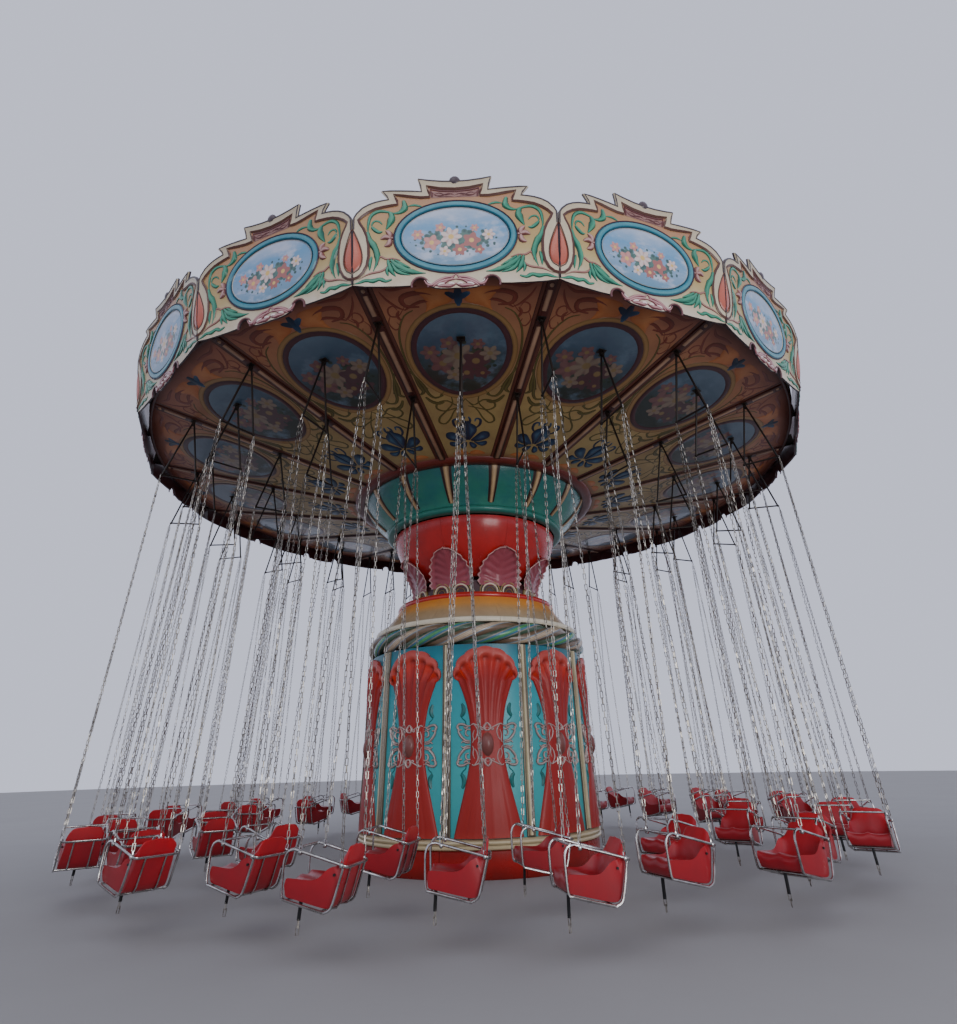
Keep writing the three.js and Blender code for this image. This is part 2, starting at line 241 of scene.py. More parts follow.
class Form:
    """A mesh in the making, with each point's share across and along its piece."""

    def __init__(self) -> None:
        """Starts an empty form."""
        self.bm = bmesh.new()
        self.across = self.bm.verts.layers.float.new("across")
        self.along = self.bm.verts.layers.float.new("along")

    def everything(self) -> list[Any]:
        """Gives all points, edges and faces."""
        return [*self.bm.verts, *self.bm.edges, *self.bm.faces]

    def loop(self, points: Points, closed: bool = True) -> list[bmesh.types.BMEdge]:
        """Adds a line through the points and gives its edges."""
        verts = [self.bm.verts.new(Vector(p).to_3d()) for p in points]
        ends = verts[1:] + verts[:1] if closed else verts[1:]
        return [self.bm.edges.new(pair) for pair in zip(verts, ends)]

    def lathe(self, outline: Points, steps: int = 128, sweep: float = 360.0, paint: int = 0) -> "Form":
        """Turns a closed outline of radius and height about the axis.

        Args:
            outline: (radius, height) pairs.
            steps: parts of the turn.
            sweep: degrees that it covers, with its ends closed where it isn't a full turn.
            paint: index of the finish.

        Returns:
            The form itself.
        """
        edges = self.loop([(r, 0, z) for r, z in outline])
        ends = list({v for edge in edges for v in edge.verts})
        known = set(self.bm.faces)
        full = sweep == 360
        bmesh.ops.spin(
            self.bm, geom=edges + ends, cent=(0, 0, 0), axis=(0, 0, 1), angle=math.radians(sweep),
            steps=steps, use_merge=full)
        if not full:
            open_edges = [edge for edge in self.bm.edges if edge.is_boundary]
            bmesh.ops.holes_fill(self.bm, edges=open_edges, sides=0)
        self.paint([face for face in self.bm.faces if face not in known], paint)
        return self

    def paint(self, faces: Iterable[bmesh.types.BMFace], index: int) -> None:
        """Gives faces the finish of that index."""
        for face in faces:
            face.material_index = index

    def plate(
            self, outlines: Sequence[Points], low: float, high: float, edge: float = 0.0, paint: int = 0,
            sides: int | None = None) -> "Form":
        """Makes a flat plate.

        Args:
            outlines: the outer outline and any holes.
            low: height of its back.
            high: height of its face.
            edge: width of the slope around its face.
            paint: index of the face's finish.
            sides: index of the finish of sides and back, where it differs.

        Returns:
            The form itself.
        """
        edges = [e for outline in outlines for e in self.loop([(p[0], p[1], low) for p in outline])]
        filled = bmesh.ops.triangle_fill(self.bm, use_beauty=True, edges=edges)["geom"]
        faces = [g for g in filled if isinstance(g, bmesh.types.BMFace)]
        known = set(self.bm.faces) - set(faces)
        raised = bmesh.ops.extrude_face_region(self.bm, geom=faces)["geom"]
        verts = [g for g in raised if isinstance(g, bmesh.types.BMVert)]
        tops = [g for g in raised if isinstance(g, bmesh.types.BMFace)]
        bmesh.ops.translate(self.bm, vec=(0, 0, high - low), verts=verts)
        self.paint([f for f in self.bm.faces if f not in known], paint if sides is None else sides)
        self.paint(tops, paint)
        if edge:
            bmesh.ops.inset_region(
                self.bm, faces=tops, thickness=edge, depth=edge / 2, use_even_offset=True)
        return self

    def mound(
            self, outline: Points, rings: Points, middle: Sequence[float] | None = None,
            paint: int = 0) -> "Form":
        """Makes a mound over a closed outline, out of shrinking rings.

        Args:
            outline: the outline.
            rings: (share of the outline's size, height) of each ring.
            middle: what the rings shrink towards, where it isn't the outline's middle.
            paint: index of the finish.

        Returns:
            The form itself.
        """
        points = [Vector(p).to_3d() for p in outline]
        centre = Vector(middle).to_3d() if middle else sum(points, Vector()) / len(points)
        section = [(*(p - centre).xy, i / len(points)) for i, p in enumerate(points)]
        stations = [Matrix.Translation(centre + Vector((0, 0, high))) @ Matrix.Diagonal((share, share, 1, 1))
                    for share, high in rings]
        return self.sweep(section, stations, paint=paint)

    def dome(
            self, outline: Points, low: float, high: float, rings: int = 3,
            middle: Sequence[float] | None = None, paint: int = 0) -> "Form":
        """Makes a rounded mound from one height to another."""
        angles = [0.5 * math.pi * k / (rings + 0.35) for k in range(rings + 1)]
        steps = [(math.cos(a), low + (high - low) * math.sin(a)) for a in angles]
        return self.mound(outline, steps, middle, paint)

    def disc(self, outline: Points, low: float, high: float, rings: int = 5, paint: int = 0) -> "Form":
        """Makes a thin disc in rings, which can follow a curved ground."""
        steps = [(1.0, low), *((1 - k / rings, high) for k in range(rings))]
        return self.mound(outline, steps, paint=paint)

    def sweep(self, section: Points, stations: Sequence[Matrix], closed: bool = False,
              paint: int = 0) -> "Form":
        """Draws a closed section through a row of places.

        Args:
            section: (across, proud, share) of each of its points.
            stations: the places, each with the section's own x and y.
            closed: whether the last place joins the first.
            paint: index of the finish.

        Returns:
            The form itself.
        """
        known = set(self.bm.faces)
        edges = self.loop([stations[0] @ Vector((x, y, 0)) for x, y, _ in section])
        for edge, (_, _, share) in zip(edges, section):
            edge.verts[0][self.across] = share
        first = edges
        for i, (before, here) in enumerate(zip(stations, stations[1:])):
            made = bmesh.ops.extrude_edge_only(self.bm, edges=edges)["geom"]
            verts = {g for g in made if isinstance(g, bmesh.types.BMVert)}
            edges = [g for g in made if isinstance(g, bmesh.types.BMEdge)]
            edges = [e for e in edges if e.verts[0] in verts and e.verts[1] in verts]
            bmesh.ops.transform(self.bm, matrix=here @ before.inverted(), verts=list(verts))
            for vert in verts:
                vert[self.along] = (i + 1) / (len(stations) - 1)
        if closed:
            bmesh.ops.bridge_loops(self.bm, edges=first + edges)
        else:
            bmesh.ops.holes_fill(self.bm, edges=first + edges, sides=0)
        self.paint([f for f in self.bm.faces if f not in known], paint)
        return self

    def stroke(
            self, points: Points, width: float | Callable[[float], float], lift: float = 0.3,
            section: Section = Section.RIDGE, steps: int = 3, closed: bool = False, ground: float = 0.0,
            paint: int = 0) -> "Form":
        """Draws a raised brush stroke along a smooth flat curve.

        Args:
            points: the points that it passes.
            width: its width, or what gives it from the share along.
            lift: its height as a share of its width.
            section: its cross section.
            steps: parts of each stretch.
            closed: whether it runs back to its start.
            ground: height that it stands on.
            paint: index of the finish.

        Returns:
            The form itself.
        """
        path = ways(curve(points, steps, closed), closed)
        stations = []
        for i, (point, ahead) in enumerate(path):
            wide = width(i / (len(path) - 1)) if callable(width) else width
            side = Vector((ahead.y, -ahead.x, 0)) * wide
            stations.append(placed(side, Vector((0, 0, wide * lift)), ahead, point + Vector((0, 0, ground))))
        return self.sweep(section.value, stations, closed, paint)

    def tube(
            self, points: Sequence[Vector], radius: float, section: Section = Section.TUBE,
            closed: bool = False, paint: int = 0) -> "Form":
        """Draws a tube of one radius through points in space."""
        path = ways([Vector(p) for p in points], closed)
        side = path[0][1].orthogonal().normalized()
        stations = []
        for point, ahead in path:
            side = (side - ahead * side.dot(ahead)).normalized()
            stations.append(placed(side * radius, ahead.cross(side) * radius, ahead, point))
        return self.sweep(section.value, stations, closed, paint)

    def block(self, size: Sequence[float], middle: Sequence[float], bevel: float = 0.0,
              paint: int = 0) -> "Form":
        """Adds a block with bevelled edges."""
        known = set(self.bm.faces)
        place = Matrix.Translation(middle) @ Matrix.Diagonal((*size, 1))
        verts = bmesh.ops.create_cube(self.bm, size=1, matrix=place)["verts"]
        if bevel:
            edges = list({e for v in verts for e in v.link_edges})
            bmesh.ops.bevel(
                self.bm, geom=edges, offset=bevel, segments=1, profile=0.5, affect="EDGES", material=-1)
        self.paint([f for f in self.bm.faces if f not in known], paint)
        return self

    def ball(
            self, radius: float, middle: Sequence[float], squash: Sequence[float] = (1, 1, 1),
            paint: int = 0) -> "Form":
        """Adds a ball, or an egg of the given shares."""
        known = set(self.bm.faces)
        place = Matrix.Translation(middle) @ Matrix.Diagonal((*squash, 1))
        bmesh.ops.create_icosphere(self.bm, subdivisions=2, radius=radius, matrix=place)
        self.paint([f for f in self.bm.faces if f not in known], paint)
        return self

    def mirrored(self) -> "Form":
        """Adds the other half across the middle."""
        bmesh.ops.mirror(self.bm, geom=self.everything(), axis="X", merge_dist=1e-5)
        return self

    def around(self, count: int, start: float = 0.0) -> "Form":
        """Sets a bay's form at an angle and repeats it at equal turns."""
        self.moved(turn(start))
        if count > 1:
            bmesh.ops.spin(
                self.bm, geom=self.everything(), cent=(0, 0, 0), axis=(0, 0, 1),
                angle=2 * math.pi * (count - 1) / count, steps=count - 1, use_duplicate=True)
        return self

    def moved(self, matrix: Matrix) -> "Form":
        """Moves every point."""
        bmesh.ops.transform(self.bm, matrix=matrix, verts=self.bm.verts)
        return self

    def laid(self, ground: Callable[[Vector], Vector]) -> "Form":
        """Lays flat relief on its ground."""
        for vert in self.bm.verts:
            vert.co = ground(vert.co)
        return self

    def local(self, middle: Sequence[float], half: Sequence[float]) -> "Form":
        """Marks each flat point with its place in an oval, from -1 to 1 each way."""
        for vert in self.bm.verts:
            vert[self.across] = (vert.co.x - middle[0]) / half[0]
            vert[self.along] = (vert.co.y - middle[1]) / half[1]
        return self

    def join(self, mesh: bpy.types.Mesh, place: Matrix) -> "Form":
        """Adds a finished mesh at a place."""
        known = len(self.bm.verts)
        self.bm.from_mesh(mesh)
        self.bm.verts.ensure_lookup_table()
        bmesh.ops.transform(self.bm, matrix=place, verts=self.bm.verts[known:])
        return self

    def mesh(self, name: str, smooth: float = 40.0) -> bpy.types.Mesh:
        """Closes seams, turns faces outwards and gives the mesh.

        Args:
            name: its name.
            smooth: degrees past which an edge stays sharp.

        Returns:
            The finished mesh.
        """
        bmesh.ops.remove_doubles(self.bm, verts=self.bm.verts, dist=2e-5)
        bmesh.ops.recalc_face_normals(self.bm, faces=self.bm.faces)
        for face in self.bm.faces:
            face.smooth = True
        made = bpy.data.meshes.new(name)
        self.bm.to_mesh(made)
        self.bm.free()
        made.set_sharp_from_angle(angle=math.radians(smooth))
        return made


class Graph:
    """Adds and links the nodes of one material or shader group."""

    def __init__(self, tree: bpy.types.NodeTree) -> None:
        """Clears the tree and keeps it."""
        tree.nodes.clear()
        self.tree = tree

    def add(self, kind: str, inputs: dict[Any, Any] | None = None, **settings: Any) -> bpy.types.Node:
        """Adds a node.

        Args:
            kind: its type, without the leading word.
            inputs: value or source of each input, by name or number.
            settings: its other properties.

        Returns:
            The node.
        """
        node = self.tree.nodes.new(kind if kind.startswith("Node") else "ShaderNode" + kind)
        for key, value in settings.items():
            setattr(node, key, value)
        for key, value in (inputs or {}).items():
            if isinstance(value, bpy.types.NodeSocket):
                self.tree.links.new(value, node.inputs[key])
            else:
                node.inputs[key].default_value = value
        return node

    def math(self, operation: str, a: Any, b: Any = 0.0, clamp: bool = False) -> bpy.types.NodeSocket:
        """Works out a number from two."""
        return self.add("Math", {0: a, 1: b}, operation=operation, use_clamp=clamp).outputs[0]

    def times(self, a: Any, b: Any) -> bpy.types.NodeSocket:
        """Multiplies two numbers."""
        return self.math("MULTIPLY", a, b)

    def mix(self, share: Any, a: Any, b: Any) -> bpy.types.NodeSocket:
        """Mixes two colours."""
        return self.add("Mix", {0: share, 6: a, 7: b}, data_type="RGBA").outputs[2]

    def noise(self, place: Any, scale: Any, detail: float = 3.0, rough: float = 0.55) -> bpy.types.NodeSocket:
        """Gives a noise from 0 to 1."""
        inputs = {"Vector": place, "Scale": scale, "Detail": detail, "Roughness": rough}
        return self.add("TexNoise", inputs).outputs["Fac"]

    def span(self, value: Any, low: float, high: float, soft: bool = False) -> bpy.types.NodeSocket:
        """Gives how far a value is from low to high, from 0 to 1."""
        kind = "SMOOTHSTEP" if soft else "LINEAR"
        inputs = {"Value": value, "From Min": low, "From Max": high}
        return self.add("MapRange", inputs, interpolation_type=kind).outputs[0]

    def ramp(self, share: Any, tones: Tones) -> bpy.types.NodeSocket:
        """Colours a share by tones at rising places."""
        node = self.add("ValToRGB", {0: share})
        stops = node.color_ramp.elements
        while len(stops) < len(tones):
            stops.new(0.5)
        for stop, (place, code) in zip(stops, tones):
            stop.position = place
            stop.color = rgb(code)
        return node.outputs[0]

    def attribute(self, name: str) -> bpy.types.NodeSocket:
        """Reads one of a piece's own marks."""
        return self.add("Attribute", attribute_name=name).outputs["Fac"]


def shader_group(name: str, inputs: dict[str, Any], outputs: dict[str, str]) -> tuple[Graph, bpy.types.Node]:
    """Starts a shader node group.

    Args:
        name: its name.
        inputs: name and usual value of each input.
        outputs: name and kind of each output.

    Returns:
        Its graph, and the node that its inputs come from.
    """
    tree = bpy.data.node_groups.new(name, "ShaderNodeTree")
    kinds = {1: "NodeSocketFloat", 3: "NodeSocketVector", 4: "NodeSocketColor"}
    for label, value in inputs.items():
        kind = kinds[len(value) if isinstance(value, tuple) else 1]
        tree.interface.new_socket(label, in_out="INPUT", socket_type=kind).default_value = value
    for label, kind in outputs.items():
        tree.interface.new_socket(label, in_out="OUTPUT", socket_type="NodeSocket" + kind)
    graph = Graph(tree)
    return graph, graph.add("NodeGroupInput")


@functools.cache
def weathering() -> bpy.types.NodeTree:
    """Builds the group for paint that has faded in patches, run in streaks and gathered dirt."""
    graph, entry = shader_group(
        "Weathered paint",
        {
            "Color": rgb("808080"), "Shade": rgb("202020"), "Mottle": 0.2, "Scale": 2.0, "Streaks": 0.1,
            "Dirt": 0.1, "Roughness": 0.4, "Spread": 0.1},
        {"Color": "Color", "Roughness": "Float", "Height": "Float"})
    place = graph.add("TexCoord").outputs["Object"]
    patches = graph.noise(place, entry.outputs["Scale"], 4, 0.6)
    fine = graph.noise(place, 90.0, 2, 0.5)
    tall = graph.add("Mapping", {"Vector": place, "Scale": (14.0, 14.0, 0.7)}).outputs[0]
    runs = graph.span(graph.noise(tall, 1.0, 3, 0.6), 0.52, 0.75)
    specks = graph.span(graph.noise(place, 38.0, 4, 0.7), 0.6, 0.72)
    mottled = graph.times(graph.span(patches, 0.38, 0.68), entry.outputs["Mottle"])
    colour = graph.mix(mottled, entry.outputs["Color"], entry.outputs["Shade"])
    colour = graph.mix(graph.times(runs, entry.outputs["Streaks"]), colour, entry.outputs["Shade"])
    grime = graph.times(graph.times(specks, patches), entry.outputs["Dirt"])
    colour = graph.mix(grime, colour, rgb("2a241e"))
    spread = graph.times(graph.math("SUBTRACT", patches, 0.5), entry.outputs["Spread"])
    rough = graph.math(
        "ADD", graph.math("ADD", entry.outputs["Roughness"], spread), graph.times(grime, 0.4), clamp=True)
    height = graph.math("ADD", graph.times(fine, 0.25), patches)
    graph.add("NodeGroupOutput", {"Color": colour, "Roughness": rough, "Height": height})
    return graph.tree


@functools.cache
def relief_shade_and_highlight() -> bpy.types.NodeTree:
    """Builds the group that paints shade into the hollows and a highlight onto the ridges of moulded relief,
    found from the mesh's pointiness.
    """
    graph, entry = shader_group(
        "Relief shading",
        {
            "Color": rgb("808080"), "Hollow": rgb("201010"), "Ridge": rgb("c0c0c0"), "Depth": 0.5,
            "Light": 0.2},
        {"Color": "Color"})
    # Painted shade in the hollows and painted highlight on the ridges, from the mesh's pointiness.
    shape = graph.add("NewGeometry").outputs["Pointiness"]
    hollow_shade = graph.times(graph.span(shape, 0.5, 0.44, soft=True), entry.outputs["Depth"])
    ridge_highlights = graph.times(graph.span(shape, 0.51, 0.6, soft=True), entry.outputs["Light"])
    colour = graph.mix(hollow_shade, entry.outputs["Color"], entry.outputs["Hollow"])
    graph.add("NodeGroupOutput", {"Color": graph.mix(ridge_highlights, colour, entry.outputs["Ridge"])})
    return graph.tree


@functools.cache
def blossom() -> bpy.types.NodeTree:
    """Builds the group that masks one round flower with petals and a heart."""
    graph, entry = shader_group(
        "Blossom", {"Place": (0.0, 0.0, 0.0), "Middle": (0.0, 0.0, 0.0), "Size": 0.2, "Petals": 5.0},
        {"Petal": "Float", "Heart": "Float", "Fold": "Float"})
    offset = graph.add(
        "VectorMath", {0: entry.outputs["Place"], 1: entry.outputs["Middle"]},
        operation="SUBTRACT").outputs[0]
    parts = graph.add("SeparateXYZ", {0: offset})
    angle = graph.math("ARCTAN2", parts.outputs["Y"], parts.outputs["X"])
    reach = graph.math(
        "DIVIDE", graph.add("VectorMath", {0: offset}, operation="LENGTH").outputs[1],
        entry.outputs["Size"])
    wave = graph.math("COSINE", graph.times(angle, entry.outputs["Petals"]))
    edge = graph.math("ADD", graph.times(wave, 0.16), 0.84)
    ratio = graph.math("DIVIDE", reach, edge)
    graph.add(
        "NodeGroupOutput",
        {
            "Petal": graph.span(ratio, 1.04, 0.96), "Heart": graph.span(reach, 0.3, 0.22),
            "Fold": graph.times(graph.span(wave, 0.1, -1.0), graph.span(reach, 0.15, 1.0))})
    return graph.tree


class Axis(Enum):
    """What the tones of a finish follow."""

    HEIGHT = "height"
    RADIUS = "radius"
    ACROSS = "across"
    ALONG = "along"


@dataclass(frozen=True)
class Finish:
    """A finish of the ride's surfaces."""

    name: str

    def surface(self, graph: Graph) -> dict[str, Any]:
        """Adds the finish's nodes and gives the shader's inputs."""
        raise NotImplementedError

    @functools.cache
    def material(self) -> bpy.types.Material:
        """Builds the material, once."""
        made = bpy.data.materials.new(self.name)
        made.use_nodes = True
        graph = Graph(made.node_tree)
        shader = graph.add("BsdfPrincipled", self.surface(graph))
        graph.add("OutputMaterial", {"Surface": shader.outputs[0]})
        return made


@dataclass(frozen=True)
class Paint(Finish):
    """Gloss paint on moulded shells, boards and steel, in tones that follow a direction."""

    tones: Tones
    axis: Axis = Axis.HEIGHT
    span: tuple[float, float] = (0.0, 1.0)
    shade: str = "2c1c16"
    mottle: float = 0.25
    patch: float = 2.2
    streaks: float = 0.12
    dirt: float = 0.25
    rough: float = 0.38
    spread: float = 0.25
    coat: float = 0.25
    ripple: float = 0.002
    # The hollow colour is painted shade in a relief's hollows, and the ridge colour is a painted highlight on
    # its ridges.
    hollow: str = ""
    ridge_highlight: str = ""
    metal: float = 0.0

    def tone(self, graph: Graph) -> bpy.types.NodeSocket:
        """Gives the colour before wear."""
        if self.axis in (Axis.ACROSS, Axis.ALONG):
            value = graph.attribute(self.axis.value)
        else:
            parts = graph.add("SeparateXYZ", {0: graph.add("TexCoord").outputs["Object"]})
            value = parts.outputs["Z"]
            if self.axis is Axis.RADIUS:
                squares = [graph.times(parts.outputs[k], parts.outputs[k]) for k in "XY"]
                value = graph.math("SQRT", graph.math("ADD", *squares))
        return graph.ramp(graph.span(value, *self.span), self.tones)

    def surface(self, graph: Graph) -> dict[str, Any]:
        """Adds the paint's tones and wear and gives the shader's inputs."""
        colour = self.tone(graph) if len(self.tones) > 1 else rgb(self.tones[0][1])
        wear = graph.add(
            "Group",
            {
                "Color": colour, "Shade": rgb(self.shade), "Mottle": self.mottle, "Scale": self.patch,
                "Streaks": self.streaks, "Dirt": self.dirt, "Roughness": self.rough, "Spread": self.spread},
            node_tree=weathering())
        shown = wear.outputs["Color"]
        # Painted shade in the relief's hollows and painted highlight on its ridges.
        if self.hollow:
            inputs = {
                "Color": shown, "Hollow": rgb(self.hollow), "Ridge": rgb(self.ridge_highlight or self.tones[-1][1])}
            shown = graph.add("Group", inputs, node_tree=relief_shade_and_highlight()).outputs["Color"]
        bump = graph.add("Bump", {"Height": wear.outputs["Height"], "Strength": 0.6, "Distance": self.ripple})
        return {
            "Base Color": shown, "Roughness": wear.outputs["Roughness"], "Normal": bump.outputs[0],
            "Metallic": self.metal, "Specular IOR Level": 0.35, "Coat Weight": self.coat,
            "Coat Roughness": 0.15}


@dataclass(frozen=True)
class Metal(Finish):
    """Bare metal with dull and bright patches."""

    bright: str
    dull: str
    rough: tuple[float, float] = (0.25, 0.5)
    patch: float = 30.0

    def surface(self, graph: Graph) -> dict[str, Any]:
        """Adds the patches and gives the shader's inputs."""
        place = graph.add("TexCoord").outputs["Object"]
        patches = graph.noise(place, self.patch, 4, 0.65)
        colour = graph.mix(graph.span(patches, 0.4, 0.66), rgb(self.bright), rgb(self.dull))
        rough = graph.add("MapRange", {"Value": patches, "To Min": self.rough[0], "To Max": self.rough[1]})
        bump = graph.add("Bump", {"Height": graph.noise(place, 60.0, 2), "Strength": 0.2, "Distance": 0.0002})
        return {
            "Base Color": colour, "Roughness": rough.outputs[0], "Metallic": 1.0, "Normal": bump.outputs[0]}


@dataclass(frozen=True)
class Garland(Finish):
    """Painted garland of flowers on a clouded ground, drawn in an oval from -1 to 1 each way."""

    sky: Tones
    petals: tuple[str, str, str]
    leaves: tuple[str, str]
    heart: str = "d8b46a"
    aspect: float = 1.6

    FLOWERS = (
        (-0.44, -0.2, 0.27, 5), (-0.08, -0.02, 0.33, 7), (0.3, -0.16, 0.28, 5), (-0.7, 0.08, 0.19, 6),
        (0.62, 0.02, 0.2, 6), (0.08, -0.46, 0.22, 6), (-0.28, 0.3, 0.17, 5), (-0.2, -0.5, 0.18, 5),
        (0.44, -0.48, 0.16, 5), (0.36, 0.26, 0.14, 6))

    def surface(self, graph: Graph) -> dict[str, Any]:
        """Adds the sky, the leaves and the flowers and gives the shader's inputs."""
        place = graph.add("TexCoord").outputs["Object"]
        x, y = graph.attribute("across"), graph.attribute("along")
        local = graph.add("CombineXYZ", {"X": graph.times(x, self.aspect), "Y": y}).outputs[0]
        spread = graph.add("Mapping", {"Vector": place, "Scale": (1.6, 1.6, 3.2)}).outputs[0]
        clouds = graph.noise(spread, 1.4, 6, 0.6)
        rise = graph.math("ADD", graph.span(y, -1.0, 1.0), graph.times(clouds, 0.5))
        colour = graph.ramp(graph.math("SUBTRACT", rise, 0.25), self.sky)
        colour = graph.mix(graph.span(clouds, 0.5, 0.68, soft=True), colour, rgb(self.sky[-1][1]))
        colour = self.leafage(graph, local, colour)
        for i, (u, v, size, petals) in enumerate(self.FLOWERS):
            inputs = {"Place": local, "Middle": (u * self.aspect, v, 0.0), "Size": size, "Petals": petals}
            flower = graph.add("Group", inputs, node_tree=blossom()).outputs
            petal = graph.mix(flower["Fold"], rgb(self.petals[i % 3]), rgb(self.petals[2]))
            colour = graph.mix(flower["Petal"], colour, petal)
            colour = graph.mix(flower["Heart"], colour, rgb(self.heart))
        strokes = graph.noise(local, 16.0, 4, 0.7)
        bump = graph.add("Bump", {"Height": strokes, "Strength": 0.4, "Distance": 0.002})
        rough = graph.add("MapRange", {"Value": strokes, "To Min": 0.25, "To Max": 0.5}).outputs[0]
        return {"Base Color": colour, "Roughness": rough, "Normal": bump.outputs[0], "Coat Weight": 0.3}

    def leafage(self, graph: Graph, local: Any, ground: Any) -> bpy.types.NodeSocket:
        """Paints the ragged oval of leaves that the flowers lie on over the ground."""
        bed = graph.add("VectorMath", {0: local, 1: (0.0, 0.14, 0.0)}, operation="ADD").outputs[0]
        shape = graph.add("SeparateXYZ", {0: bed}).outputs
        wide = graph.math("POWER", graph.math("DIVIDE", shape["X"], 0.84 * self.aspect), 2.0)
        tall = graph.math("POWER", graph.math("DIVIDE", shape["Y"], 0.52), 2.0)
        leaves = graph.add("TexVoronoi", {"Vector": local, "Scale": 7.0}, feature="F1").outputs["Distance"]
        ragged = graph.math("ADD", graph.math("ADD", wide, tall), graph.times(leaves, 1.3))
        green = graph.mix(graph.span(leaves, 0.1, 0.55), *(rgb(code) for code in self.leaves))
        return graph.mix(graph.span(ragged, 1.25, 1.15), ground, green)


def show(name: str, data: bpy.types.ID) -> bpy.types.Object:
    """Puts an object into the scene."""
    thing = bpy.data.objects.new(name, data)
    bpy.context.scene.collection.objects.link(thing)
    return thing


@dataclass
class Piece:
    """One finished piece of the ride."""

    name: str
    mesh: bpy.types.Mesh
    finishes: tuple[Finish, ...]
    body: str
    slot: str
    replaces: tuple[str, ...] = ()

    def fix(self) -> None:
        """Paints the piece, and fixes it to its body in place of the solids it stands for."""
        thing = show(self.name, self.mesh)
        for finish in self.finishes:
            self.mesh.materials.append(finish.material())
        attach(thing, self.body)
        if self.replaces:
            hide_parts(*self.replaces)
        log.info("%s: %d faces on %s", self.name, len(self.mesh.polygons), self.body)


@dataclass
class Assembly:
    """A sub-assembly: build makes its pieces, and dress paints and fixes them."""

    body: str = field(default="base", init=False)
    pieces: list[Piece] = field(default_factory=list, init=False, repr=False)

    def build(self) -> None:
        """Makes the meshes."""
        raise NotImplementedError

    def add(
            self, name: str, form: Form, slot: str, *finishes: Finish, replaces: tuple[str, ...] = (),
            smooth: float = 40.0, body: str = "") -> None:
        """Finishes a form as a piece.

        Args:
            name: the piece's name.
            form: its form.
            slot: the record's slot that its finish comes from; it is kept with the piece and not used.
            finishes: its finishes, by index.
            replaces: the solids that it stands for.
            smooth: degrees past which an edge stays sharp.
            body: the body that it rides on, where it isn't the sub-assembly's own.
        """
        mesh = form.mesh(name, smooth)
        self.pieces.append(Piece(name, mesh, finishes, body or self.body, slot, replaces))

    def dress(self) -> None:
        """Paints and fixes every piece."""
        for piece in self.pieces:
            piece.fix()


PLINTH_RED = Paint(
    "plinth red", evenly("78160f", "a41a14", "941812"), span=(0.0, 0.36), mottle=0.35, rough=0.28, dirt=0.5,
    shade="4c0e0c")
# Painted shade in the moulding's hollows and painted highlight on its ridges.
CREAM = Paint(
    "cream moulding", evenly("b09a72", "d8caa4"), mottle=0.2, shade="8a7350", rough=0.35, hollow="4a3826",
    dirt=0.4)
# Darker at the top: painted shade under the rope moulding.
TURQUOISE_SHADED_AT_TOP = Paint(
    "turquoise panels",
    ((0.0, "3c9c9c"), (0.35, "3ca6a6"), (0.7, "2c9ca4"), (0.9, "1f8c9c"), (1.0, "166474")),
    span=(0.48, 3.2), mottle=0.25, shade="2a8894", rough=0.36, streaks=0.15, coat=0.15)
# Painted shade in the shells' hollows and painted highlight on their ridges.
SHELL_RED = Paint(
    "shell red",
    (
        (0.0, "9c2018"), (0.12, "ac241a"), (0.32, "c8301c"), (0.5, "b83c30"), (0.85, "c45448"),
        (1.0, "b84a42")),
    axis=Axis.ALONG, mottle=0.3, shade="a01a16", rough=0.42, coat=0.04, hollow="641010", ridge_highlight="d0503c",
    streaks=0.06)
# Painted shade in the medallions' hollows and painted highlight on their ridges.
MEDALLION = Paint(
    "medallion brown", evenly("74423c", "8a5048"), span=(1.5, 1.9), rough=0.35, coat=0.2, shade="4a2420",
    hollow="3a1a16", ridge_highlight="a87868")
# Dark at both edges: painted shade along the sides of the raised scrolls.
SILVER_SCROLL_SHADED_EDGES = Paint(
    "silver scrollwork",
    ((0.0, "5c4844"), (0.2, "a8948e"), (0.5, "e4d2ca"), (0.8, "a8948e"), (1.0, "5c4844")), axis=Axis.ACROSS,
    rough=0.32, mottle=0.4, patch=9.0, shade="a07470")
SMALL_LEAF = Paint("small leaves", evenly("0e5c5a", "1c7a76", "0e5c5a"), axis=Axis.ACROSS, rough=0.35)
# Pale cream on one side and dark olive on the other: painted light and shade, as if lit from one side.
POLE_CREAM_LIT_ON_ONE_SIDE = Paint(
    "pole cream",
    (
        (0.0, "7c6c50"), (0.2, "cfc096"), (0.42, "e4d6ae"), (0.55, "a8987a"), (0.7, "6c604c"),
        (1.0, "4c4236")),
    axis=Axis.ACROSS, shade="6a5a48", mottle=0.35, streaks=0.3, rough=0.4)
POLE_STRIP = Paint(
    "pole strip", evenly("5c5044", "766a58"), span=(0.5, 3.2), shade="3c3228", mottle=0.4, streaks=0.35)
